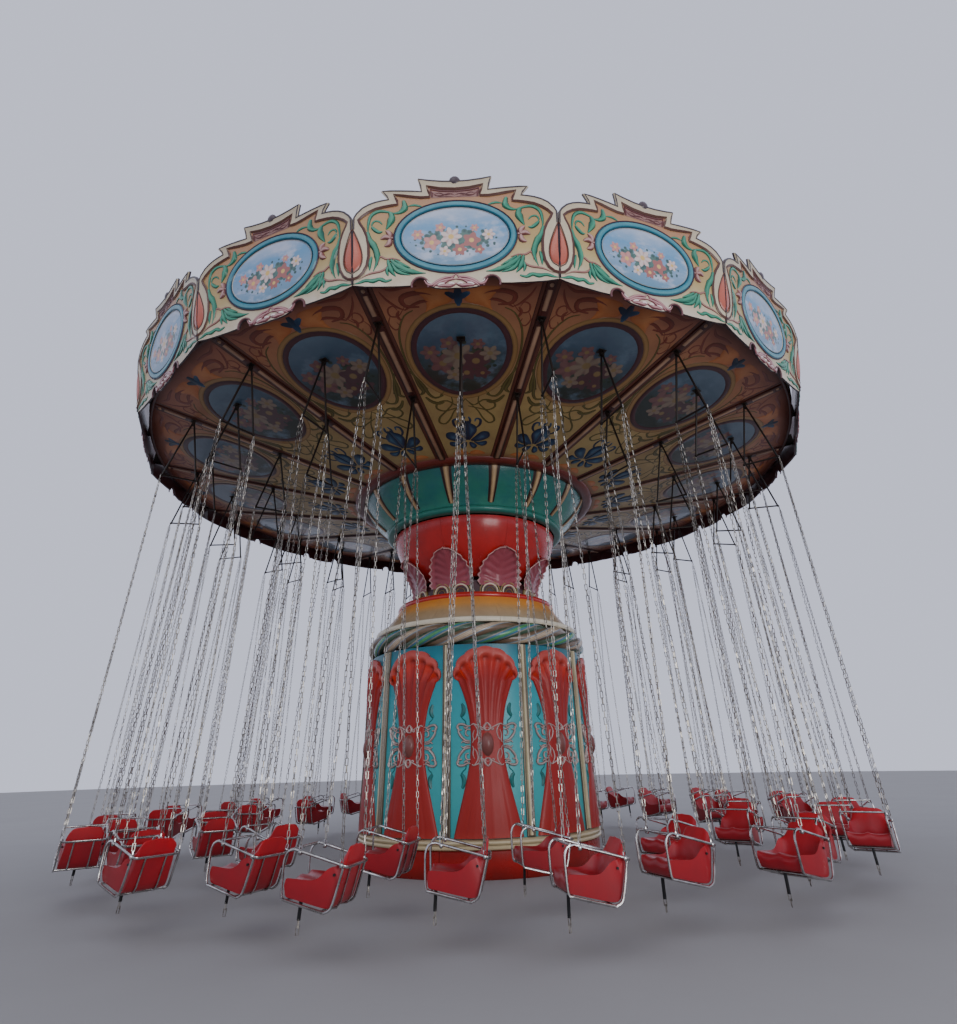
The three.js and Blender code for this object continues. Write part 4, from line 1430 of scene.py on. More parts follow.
@dataclass
class GreenBowl(Assembly):
    """Dark green bowl under the canopy, with its teal rim and gold ribs."""

    rim: Outline = (
        (1.766, 5.673), (1.84, 5.673), (1.885, 5.682), (1.912, 5.702), (1.925, 5.735), (1.92, 5.765),
        (1.9, 5.785), (1.87, 5.79), (1.8, 5.75), (1.766, 5.70))
    profile: Outline = (
        (1.885, 5.784), (2.0, 5.88), (2.13, 5.99), (2.245, 6.11), (2.335, 6.23), (2.4, 6.335), (2.43, 6.40),
        (2.446, 6.43))
    wall: float = 0.026

    def build(self) -> None:
        """Makes the rim, the bowl, and its ribs, each with a dark band of painted shadow beside it."""
        self.body = "canopy"
        outer = [p.to_2d() for p in curve(self.profile, 3)]
        inner = [(p.x - self.wall, p.y + 0.006) for p in reversed(outer)]
        bowl = Form().lathe([*outer, *inner], 128)
        self.add("green_bowl_shell", bowl, "green_gloss", BOWL_GREEN, replaces=("green_bowl",), smooth=60)
        self.add("teal_rim", Form().lathe(self.rim, 128), "turquoise_paint", RIM_TEAL)
        # Each rib is two sweeps: the gold rib, and a wider, lower band in dark brown that is painted shadow
        # beside it.
        ribs = Form()
        run = outer[2:]
        for i in range(2):
            stations = []
            for k, point in enumerate(run):
                ahead = ((run[k + 1] if k + 1 < len(run) else point) - run[k - 1 if k else 0]).normalized()
                out = Vector((ahead.y, 0, -ahead.x))
                share = k / (len(run) - 1)
                wide = (0.18, 0.26)[i] * (0.5 + 0.5 * share)
                lift = (0.03, 0.01)[i]
                base = Vector((point.x, 0, point.y)) + out * 0.001
                stations.append(placed(Vector((0, wide, 0)), out * lift, Vector((ahead.x, 0, ahead.y)), base))
            ribs.sweep(Section.ROUND.value, stations, paint=i)
        ribs.around(BAYS, BAY / 2)
        self.add("bowl_ribs_with_shadows", ribs, "gold_paint", RIB_GOLD_LIT_AND_SHADED, DARK_BROWN)
        lip = Form().lathe([(2.43, 6.405), (2.452, 6.405), (2.46, 6.42), (2.45, 6.436), (2.43, 6.436)], 160)
        self.add("bowl_lip", lip, "gold_paint", RIB_GOLD_LIT_AND_SHADED)


def ceiling_height(radius: float) -> float:
    """Gives the height of the ceiling's underside at a radius."""
    return 6.427 + 0.165 * (radius - 2.45)


def on_ceiling(flat: Vector) -> Vector:
    """Lays a flat point, with v its radius, under the ceiling in a bay's own frame."""
    return Vector((flat.y, flat.x, ceiling_height(math.hypot(flat.x, flat.y)) - flat.z))


@dataclass
class Ceiling(Assembly):
    """Painted ceiling of sixteen bays, with its battens and the hangers' forks."""

    inner: float = 2.45
    ring: float = 2.65
    outer: float = 6.82
    thick: float = 0.02
    picture_middle: float = 5.31
    picture_long: float = 0.84
    picture_wide: float = 0.7
    rows: Outline = ((6.10, 0.5), (5.67, 0.0), (4.47, 0.5))

    def lay(self, name: str, form: Form, slot: str, *finishes: Finish, start: float = 0.0) -> None:
        """Lays a bay's flat form under the ceiling, repeats it in every bay and adds it."""
        self.add(name, form.laid(on_ceiling).around(BAYS, start), slot, *finishes)

    def picture(self, grow: float, steps: int = 40) -> list[tuple[float, float]]:
        """Gives a picture's egg-shaped outline, grown by a margin."""
        egg = oval(self.picture_wide + grow, self.picture_long + grow, steps=steps)
        taper = 0.1 / (self.picture_long + grow)
        return [(u * (1 + taper * v), self.picture_middle + v) for u, v in egg]

    def build(self) -> None:
        """Makes the ceiling and what is on it."""
        self.body = "canopy"
        height = ceiling_height
        under = [(radius, height(radius)) for radius in (self.ring, 4.0, 5.5, self.outer - 0.02)]
        over = [(radius, height(radius) + self.thick) for radius in (self.outer, 5.5, 4.0, self.inner)]
        sheet = [
            *under, (self.outer, height(self.outer) + 0.006), *over, (self.inner, height(self.inner)),
            (self.ring, height(self.inner))]
        self.add(
            "ceiling_sheet", Form().lathe(sheet, 192), "ceiling_paint", CEILING_FIELD,
            replaces=("ceiling",))
        low = height(self.inner) - 0.035
        ring = [
            (2.462, low + 0.01), (2.48, low), (2.6, low + 0.012), (2.66, low + 0.04), (2.68, low + 0.075),
            (2.68, low + 0.1), (2.462, low + 0.1)]
        self.add("ceiling_ring", Form().lathe(ring, 160), "ceiling_paint", BROWN_RED)
        edge = arc((self.outer, height(self.outer) + 0.008), 0.03, 0.024, 45, range(8))
        self.add("ceiling_edge", Form().lathe(edge, 160), "ceiling_paint", DARK_BROWN)
        self.build_battens()
        self.build_forks()
        self.build_pictures()
        self.build_ornament()

    def build_battens(self) -> None:
        """Makes the dark battens on the bays' joints, with a tan strip between the brackets."""
        batten = Form().plate(
            [[(-0.062, 2.64), (0.062, 2.64), (0.062, 6.78), (-0.062, 6.78)]], -0.004, 0.024, 0.01)
        for side in (-1, 1):
            batten.stroke(
                [(side * 0.094, 2.66), (side * 0.096, 4.7), (side * 0.098, 6.78)], 0.068, 0.06,
                Section.FLAT, 8, paint=1)
        self.lay("ceiling_battens", batten, "dark_steel", DARK_BROWN, BATTEN_BAND, start=BAY / 2)
        strip = Form()
        for low, high in ((2.69, 4.32), (4.62, 5.95), (6.25, 6.62)):
            strip.plate([[(-0.036, low), (0.036, low), (0.036, high), (-0.036, high)]], 0.022, 0.036, 0.01)
        strip.local((-0.036, 0.0), (0.072, 1.0))
        strip.dome(oval(0.036, 0.036, (0, 6.70), 12), 0.022, 0.05, 2)
        self.lay("batten_strips", strip, "tan_paint", TAN_STRIP, start=BAY / 2)

    def build_forks(self) -> None:
        """Makes the forks and pins that the hangers swing on."""
        for name, radius, shift in zip(("outer", "middle", "inner"), *zip(*self.rows)):
            form = Form()
            top = ceiling_height(radius)
            form.block((0.11, 0.13, 0.012), (radius, 0, top - 0.028), 0.003)
            for side in (-1, 1):
                form.block((0.05, 0.008, 0.094), (radius, side * 0.024, top - 0.062), 0.002)
            form.tube([(radius, -0.036, top - 0.07), (radius, 0.036, top - 0.07)], 0.012)
            for side in (-0.034, 0.034):
                form.block((0.03, 0.008, 0.03), (radius, side, top - 0.07), 0.002)
            form.around(BAYS, shift * BAY)
            self.add(f"{name}_forks", form, "dark_steel", BLACK_STEEL)

    def build_pictures(self) -> None:
        """Makes the oval pictures, their plum rings and ochre lines."""
        middle, half = (0.0, self.picture_middle), (self.picture_wide, self.picture_long)
        disc = Form().disc(self.picture(0.0), -0.002, 0.004, 6).local(middle, half)
        self.lay("ceiling_pictures", disc, "picture_paint", CEILING_PICTURE)
        ring = Form().stroke(self.picture(0.03), 0.115, 0.09, Section.ROUND, 1, True)
        self.lay("picture_rings", ring, "ceiling_paint", MAROON)
        line = Form().stroke(self.picture(0.122), 0.085, 0.05, Section.FLAT, 1, True)
        self.lay("picture_lines", line, "ceiling_paint", OCHRE)

    def build_ornament(self) -> None:
        """Makes the painted scrolls, knots, flowers and leaves of the bays."""
        olive = Form()
        for points, width in (
            (
                (
                    (0.66, 6.2), (0.8, 6.1), (0.9, 5.86), (0.925, 5.6), (0.9, 5.3), (0.84, 5.02),
                    (0.74, 4.76), (0.6, 4.56)),
                0.034),
            (((0.86, 4.98), (0.74, 4.78), (0.66, 4.62), (0.6, 4.44), (0.5, 4.34), (0.36, 4.4)), 0.055),
            (((0.8, 4.9), (0.74, 4.66), (0.68, 4.5), (0.74, 4.42)), 0.07),
            (((0.66, 4.36), (0.56, 4.24), (0.44, 4.2), (0.36, 4.24)), 0.07),
            (((0.42, 4.36), (0.34, 4.5), (0.28, 4.52)), 0.05),
            (
                (
                    (0.0, 4.3), (0.14, 4.14), (0.3, 4.26), (0.46, 4.22), (0.5, 4.08), (0.38, 4.0),
                    (0.2, 4.06), (0.04, 4.12)),
                0.036),
            (
                (
                    (0.24, 4.4), (0.22, 4.2), (0.34, 4.0), (0.46, 3.84), (0.48, 3.7), (0.38, 3.66),
                    (0.28, 3.8), (0.2, 4.0), (0.06, 4.2)),
                0.036),
            (((0.9, 5.2), (0.98, 5.22), (1.02, 5.14)), 0.035)):
            olive.stroke(points, swelling(1.35 * width, 0.45), 0.08)
        self.lay("ceiling_scrolls", olive.mirrored(), "ceiling_paint", OLIVE)
        wedge = Form()
        for outline in (
            (
                (0.09, 6.34), (0.3, 6.24), (0.5, 6.1), (0.46, 6.26), (0.5, 6.42), (0.62, 6.56), (0.4, 6.6),
                (0.16, 6.58), (0.1, 6.46)),
            ((0.02, 2.74), (0.3, 2.74), (0.26, 2.83), (0.14, 2.88), (0.03, 2.84))):
            wedge.dome(curve(outline, 3, True), -0.001, 0.006, 2)
        self.lay("ceiling_flames", wedge.mirrored(), "ceiling_paint", FLAME)
        russet = Form()
        for points, width in (
            (((0.2, 6.36), (0.4, 6.48), (0.62, 6.5), (0.8, 6.42), (0.76, 6.28), (0.56, 6.26)), 0.11),
            (((0.3, 6.3), (0.48, 6.36), (0.64, 6.3), (0.78, 6.2)), 0.07),
            (((0.76, 6.2), (0.88, 6.26), (1.02, 6.4), (1.1, 6.54)), 0.05),
            (((0.56, 6.62), (0.76, 6.6), (0.94, 6.56), (1.1, 6.62)), 0.07),
            (((0.78, 6.26), (0.88, 6.1), (1.0, 6.1), (1.02, 6.22), (0.94, 6.28), (0.88, 6.2)), 0.035),
            (((1.0, 6.1), (1.04, 5.96), (0.96, 5.84), (0.88, 5.9), (0.92, 5.98)), 0.035),
            (((0.84, 6.0), (0.9, 6.1), (0.86, 6.2)), 0.06),
            (((0.0, 2.76), (0.12, 2.82), (0.24, 2.78)), 0.06)):
            russet.stroke(points, swelling(width), 0.08)
        self.lay("ceiling_swirls", russet.mirrored(), "ceiling_paint", RUSSET)
        flower = Form()
        for outline in (
            ((0.0, 3.18), (0.1, 3.3), (0.17, 3.44), (0.15, 3.58), (0.07, 3.66), (0.0, 3.72)),
            ((0.04, 3.16), (0.14, 3.3), (0.26, 3.42), (0.38, 3.4), (0.4, 3.28), (0.34, 3.2), (0.2, 3.14)),
            ((0.1, 3.14), (0.2, 3.12), (0.33, 3.14), (0.34, 3.04), (0.26, 2.99), (0.17, 3.04)),
            ((0.02, 3.12), (0.1, 3.1), (0.16, 3.0), (0.11, 2.92), (0.04, 2.98))):
            flower.dome(curve(outline, 3, True), -0.001, 0.014, 3)
        for points, width in (
            (((0.12, 3.5), (0.22, 3.6), (0.24, 3.74), (0.17, 3.78), (0.14, 3.7)), 0.055),
            (((0.03, 3.6), (0.06, 3.74), (0.03, 3.84)), 0.05)):
            flower.stroke(points, petal_width(1.2 * width), 0.1)
        self.lay("ceiling_flowers", flower.mirrored(), "ceiling_paint", FLOWER_BLUE)
        leaf = Form().stroke(((-0.19, 6.5), (0, 6.42), (0.19, 6.5)), petal_width(0.13), 0.06, Section.ROUND)
        leaf.stroke(((0, 6.58), (0, 6.42), (0, 6.24)), petal_width(0.14), 0.06, Section.ROUND)
        self.lay("ceiling_leaves", leaf, "ceiling_paint", FLOWER_BLUE)


@dataclass
class RoundingBoards(Assembly):
    """Sixteen carved boards around the rim, each with its oval picture."""

    foot: float = 7.0
    foot_height: float = 6.84
    flare: float = 0.2273
    thick: float = 0.03
    oval_middle: float = 7.61
    joint: tuple[float, float] = (0.006, 7.72)
    notch: tuple[float, float] = (0.475, 6.893)
    crest: Outline = (
        (1.403, 7.945), (1.37, 8.01), (1.29, 8.1), (1.2, 8.155), (1.11, 8.19), (1.02, 8.212),
        (0.935, 8.225))
    tips: Outline = (
        (0.955, 8.27), (1.03, 8.365), (0.9, 8.368), (0.75, 8.362), (0.6, 8.352), (0.475, 8.34),
        (0.49, 8.43), (0.522, 8.55), (0.36, 8.52), (0.18, 8.498), (0.0, 8.49))
    field_edge: Outline = (
        (1.385, 6.995), (1.30, 7.025), (1.235, 7.09), (1.185, 7.2), (1.165, 7.34), (1.172, 7.5),
        (1.2, 7.65), (1.25, 7.77), (1.3, 7.85), (1.325, 7.905), (1.27, 7.965), (1.19, 8.025), (1.09, 8.075),
        (0.99, 8.10), (0.88, 8.12), (0.79, 8.13))
    recess: Outline = (
        (0.8, 8.2), (0.838, 8.29), (0.72, 8.272), (0.6, 8.25), (0.47, 8.232), (0.345, 8.235), (0.35, 8.3),
        (0.385, 8.41), (0.2, 8.37), (0.0, 8.355))

    def apothem(self, height: float) -> float:
        """Gives the boards' distance from the axis at a height, on their middle lines."""
        return (self.foot + self.flare * (height - self.foot_height)) * math.cos(math.radians(BAY / 2))

    def edge(self, height: float) -> float:
        """Gives half a board's width at a height."""
        return self.apothem(height) * math.tan(math.radians(BAY / 2))

    def lean(self) -> Matrix:
        """Gives the place of a board's flat frame in its bay."""
        slope = self.flare * math.cos(math.radians(BAY / 2))
        out = Vector((1, 0, -slope)).normalized()
        return placed(Vector((0, 1, 0)), Vector((slope, 0, 1)), out, Vector((self.apothem(0.0), 0, 0)))

    def drop(self, half: float, foot: float, top: float) -> list[tuple[float, float]]:
        """Gives the inner side of a teardrop at the joint, from its foot up."""
        made = []
        for share in (k / 12 for k in range(13)):
            bulge = math.sin(math.pi * share**0.72) ** 0.85 * (1 - 0.25 * share)
            z = foot + (top - foot) * share
            made.append((self.edge(z) - 0.002 - half * bulge, z))
        return made

    def carve(self, name: str, form: Form, slot: str, *finishes: Finish, **options: Any) -> None:
        """Sets a flat form on every board and adds it."""
        self.add(name, form.moved(self.lean()).around(BAYS), slot, *finishes, **options)

    def build(self) -> None:
        """Makes the boards and their ornament."""
        self.body = "canopy"
        self.build_panels()
        self.build_borders()
        self.build_ovals()
        self.build_scrolls()
        self.build_small()

    def build_panels(self) -> None:
        """Makes the boards themselves, with slits at the joints and notches below."""
        gap, slit = self.joint
        half = [(self.edge(slit) - gap, slit), (self.edge(7.3) - gap, 7.3), (self.edge(6.92) - gap, 6.92)]
        low = [(1.2, 6.9), (1.0, 6.892), (0.75, 6.888), (0.585, 6.893)]
        notch = arc(self.notch, 0.1, 0.1, 20, range(1, 9))
        foot = [(0.375, 6.885), (0.33, 6.868), (0.27, 6.848), (0.2, 6.838), (0.1, 6.834), (0.0, 6.84)]
        right = [*reversed(self.tips), *reversed(self.crest), *half, *low, *notch, *foot]
        outline = [*right, *reversed(flipped(right[1:-1]))]
        form = Form().plate([outline], -self.thick, -0.004, paint=0, sides=1)
        back = Form().plate([outline], -self.thick - 0.006, -self.thick + 0.001)
        self.carve(
            "board_panels", form, "board_paint", BOARD_FIELD, BOARD_EDGE, replaces=("rounding_boards",))
        self.carve("board_backs", back, "board_paint", BOARD_BACK)

    def build_borders(self) -> None:
        """Makes the cream borders, the painted shadow along their inner steps, their other dark lines and the
        salmon drops at the joints.
        """
        gap, slit = self.joint
        drop = self.drop(0.14, 7.1, 7.745)
        rim = [(self.edge(7.0) - gap, 7.0), *drop[:-1], (self.edge(7.76) - gap, 7.76)]
        shrink = [(u, z - 0.014) for u, z in (*self.crest, *self.tips)]
        field_side = [*self.field_edge, *self.recess]
        right = [*rim, *shrink, *reversed(field_side)]
        border = Form().plate([right], -0.006, 0.014, 0.005).mirrored()
        self.carve("board_borders", border, "board_paint", BOARD_CREAM, smooth=50)
        # Strokes in the first finish are painted shadow along the inner step of the border and of the drops.
        groove = Form().stroke(shifted(field_side, -0.008), 0.044, 0.25, Section.RIDGE, 1, ground=0.011)
        groove.stroke(shifted(self.recess[5:], 0.03), 0.036, 0.3, Section.ROUND, 1, ground=-0.004, paint=1)
        inner = [(u - 0.006, z) for u, z in self.drop(0.14, 7.09, 7.76)]
        groove.stroke(inner, 0.02, 0.6, Section.ROUND, 1, ground=0.009)
        crest = shifted([(self.edge(7.76) - gap, 7.76), *self.crest, *self.tips], 0.012)
        groove.stroke(crest, 0.03, 0.4, Section.ROUND, 1, ground=0.008, paint=2)
        groove.stroke(
            [(self.edge(z) - 0.008, z) for z in (6.93, 7.3, 7.74)], 0.014, 1.2, Section.ROUND, 1, paint=2)
        self.carve("board_grooves", groove.mirrored(), "board_paint", GROOVE_SHADOW, MAROON_LINE, BOARD_EDGE)
        half = [
            *drop[:-1], (self.edge(7.745) - 0.012, 7.745), (self.edge(7.4) - 0.012, 7.4),
            (self.edge(7.1) - 0.012, 7.1)]
        dome = Form().dome(half, -0.004, 0.026, 4, (self.edge(7.4) - 0.02, 7.4))
        self.carve("joint_drops", dome.mirrored(), "red_paint", SALMON)

    def build_ovals(self) -> None:
        """Makes the teal frames, their dark lines and the pictures."""
        middle = (0.0, self.oval_middle)
        wide, high = 0.73, 0.455
        disc = Form().plate([oval(wide + 0.01, high + 0.01, middle, 64)], -0.006, 0.004)
        disc.local(middle, (wide, high))
        self.carve("board_pictures", disc, "picture_paint", BOARD_PICTURE)
        ring = Form().stroke(oval(0.787, 0.506, middle), 0.1, 0.24, Section.ROUND, 1, True)
        self.carve("oval_frames", ring, "board_paint", FRAME_TEAL)
        lines = Form()
        for across, tall, width, paint in (
            (0.842, 0.561, 0.018, 0), (0.738, 0.457, 0.02, 1), (0.72, 0.44, 0.01, 2)):
            lines.stroke(oval(across, tall, middle), width, 0.7, Section.RIDGE, 1, True, 0.004, paint)
        self.carve("oval_lines", lines, "board_paint", FRAME_LINE, FRAME_NAVY, BOARD_CREAM)

    def build_scrolls(self) -> None:
        """Makes the green scrolls and leaves and the pink stems and lilies."""
        green = Form()
        for points, width, lobes in (
            (((0.46, 8.095), (0.56, 8.122), (0.66, 8.105)), 0.032, 0),
            (((0.715, 8.2), (0.7, 8.14), (0.7, 8.07), (0.77, 8.01), (0.87, 8.0)), 0.088, 2),
            (
                (
                    (0.84, 8.0), (0.94, 8.03), (1.04, 8.042), (1.12, 8.01), (1.17, 7.95), (1.19, 7.86),
                    (1.195, 7.76), (1.17, 7.66)),
                0.045, 0),
            (((0.9, 8.02), (0.87, 7.94), (0.9, 7.84), (0.945, 7.75)), 0.1, 2),
            (((1.0, 7.83), (1.045, 7.88), (1.11, 7.885), (1.145, 7.83), (1.12, 7.78)), 0.026, 0),
            (((1.145, 7.8), (1.1, 7.75), (1.04, 7.71), (0.99, 7.72)), 0.06, 1),
            (((1.2, 7.72), (1.165, 7.6), (1.1, 7.49), (1.06, 7.38), (1.055, 7.26), (1.1, 7.12)), 0.092, 3),
            (((1.13, 7.34), (1.15, 7.24), (1.15, 7.13)), 0.04, 0),
            (((0.87, 7.28), (0.79, 7.2), (0.66, 7.12), (0.53, 7.08), (0.4, 7.065)), 0.085, 3),
            (((0.85, 7.25), (0.76, 7.15), (0.64, 7.09), (0.5, 7.055)), 0.06, 2),
            (((0.86, 7.24), (0.8, 7.13), (0.72, 7.075), (0.6, 7.045)), 0.06, 2),
            (((0.82, 7.28), (0.72, 7.21), (0.6, 7.15)), 0.04, 0),
            (((0.91, 7.28), (0.885, 7.18), (0.85, 7.1), (0.8, 7.03)), 0.07, 2),
            (((0.9, 7.2), (0.92, 7.12), (0.9, 7.04)), 0.05, 1),
            (
                (
                    (0.85, 6.99), (0.93, 6.965), (1.01, 7.0), (1.1, 6.975), (1.2, 6.985), (1.3, 6.95),
                    (1.385, 6.935)),
                0.058, 4)):
            green.stroke(points, blade_width(1.35 * width, lobes), 0.26, Section.ROUND, 3, ground=-0.002)
        self.carve("board_scrolls", green.mirrored(), "board_paint", SCROLL_GREEN_LIT_AND_SHADED)
        pink = Form()
        for points, width, paint in (
            (
                ((0.74, 7.27), (0.84, 7.3), (0.93, 7.295), (1.01, 7.335), (1.035, 7.27), (1.04, 7.2)),
                0.026, 0),
            (((0.89, 7.26), (0.92, 7.17), (1.0, 7.115), (1.12, 7.09), (1.2, 7.06), (1.29, 7.0)), 0.028, 0),
            (((0.84, 7.61), (0.88, 7.612)), 0.04, 1),
            (((0.885, 7.61), (0.895, 7.68), (0.95, 7.73)), 0.075, 1),
            (((0.88, 7.612), (0.95, 7.63), (1.02, 7.6)), 0.07, 1),
            (((0.885, 7.6), (0.9, 7.52), (0.965, 7.49)), 0.075, 1)):
            pink.stroke(points, blade_width(1.3 * width), 0.35, Section.ROUND, 3, ground=-0.001, paint=paint)
        self.carve("board_stems", pink.mirrored(), "board_paint", STEM_PINK, LILY)

    def build_small(self) -> None:
        """Makes the ribbon at the foot with its painted highlights, the flourish in the recess, the notch
        rims and the knob.
        """
        ribbon = Form()
        for points, width, paint in (
            (
                (
                    (0.0, 7.04), (0.05, 7.0), (0.14, 6.985), (0.24, 6.94), (0.32, 6.885), (0.38, 6.9),
                    (0.42, 6.96)),
                0.04, 0),
            (((0.0, 6.965), (0.1, 6.955), (0.19, 6.93), (0.27, 6.89), (0.3, 6.86)), 0.045, 0),
            (((0.02, 7.0), (0.12, 6.935), (0.22, 6.88), (0.3, 6.9)), 0.035, 0),
            (((0.0, 6.9), (0.07, 6.868), (0.15, 6.87), (0.24, 6.862)), 0.05, 0),
            (((0.02, 6.885), (0.06, 6.893), (0.1, 6.885)), 0.045, 1),
            (((0.15, 6.9), (0.2, 6.89), (0.24, 6.875)), 0.035, 1),
            (((0.32, 6.9), (0.36, 6.915), (0.385, 6.95)), 0.02, 1)):
            # Strokes with paint 1 are painted highlights on the ribbon, set a centimetre proud.
            ribbon.stroke(
                points, swelling(1.25 * width), 0.4, Section.ROUND, 3, paint=paint, ground=0.01 * paint)
        self.carve("foot_ribbons", ribbon.mirrored(), "board_paint", RIBBON_PINK, RIBBON_HIGHLIGHT)
        mauve = Form().plate(
            [
                [
                    (-0.33, 8.225), (0.33, 8.225), (0.362, 8.345), (0.18, 8.318), (0.0, 8.31),
                    (-0.18, 8.318), (-0.362, 8.345)]],
            -0.005, -0.001, paint=1)
        lines = Form()
        for points, width in (
            (((0.0, 8.26), (0.09, 8.29), (0.18, 8.262), (0.26, 8.262), (0.31, 8.31)), 0.03),
            (((0.02, 8.3), (0.12, 8.268), (0.22, 8.305), (0.29, 8.275)), 0.022),
            (((0.0, 8.235), (0.12, 8.245), (0.24, 8.24)), 0.02)):
            lines.stroke(points, swelling(width), 0.4, ground=-0.002)
        lines.stroke(arc(self.notch, 0.112, 0.112, 20, range(-1, 11)), 0.034, 0.4, Section.ROUND, 1)
        mauve.join(lines.mirrored().mesh("flourish"), Matrix())
        self.carve("board_flourishes", mauve, "board_paint", MAUVE, RECESS_MAUVE)
        knob = Form().ball(0.08, (0, 8.5, -0.012), (1, 1, 0.5))
        self.carve("crest_knobs", knob, "dark_steel", KNOB)


@dataclass
class CanopyTop(Assembly):
    """Sheet roof with its seams, over the steel frame."""

    outer: float = 6.9
    hub: float = 0.34

    def build(self) -> None:
        """Makes the roof sheet, its thirty-two seams and the cap."""
        self.body = "canopy"
        low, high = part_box("canopy_roof")
        foot, top = low.z, high.z
        outline = [
            (self.outer - 0.04, foot), (self.outer, foot), (self.outer, foot + 0.045), (self.hub, top),
            (self.hub, top - 0.02), (self.outer - 0.03, foot + 0.02)]
        roof = Form().lathe(outline, 128)
        self.add("roof_sheets", roof, "roof_sheet", ROOF_SHEET, replaces=("canopy_roof",), smooth=30)
        rise = (top - foot - 0.045) / (self.outer - self.hub)

        def on_roof(flat: Vector) -> Vector:
            """Lays a flat point, with v its radius, on the roof's slope."""
            return Vector((flat.y, flat.x, top - rise * (flat.y - self.hub) + flat.z))

        seam = Form().plate(
            [[(-0.03, self.hub + 0.02), (0.03, self.hub + 0.02), (0.03, 6.88), (-0.03, 6.88)]],
            0.0, 0.012, 0.006)
        seam.laid(on_roof).around(BAYS * 2)
        seam.lathe(
            [
                (0.005, top - 0.02), (self.hub + 0.05, top - 0.02), (self.hub + 0.05, top + 0.004),
                (self.hub - 0.02, top + 0.012), (0.005, top + 0.012)],
            64)
        self.add("roof_seams", seam, "roof_sheet", ROOF_SEAM)


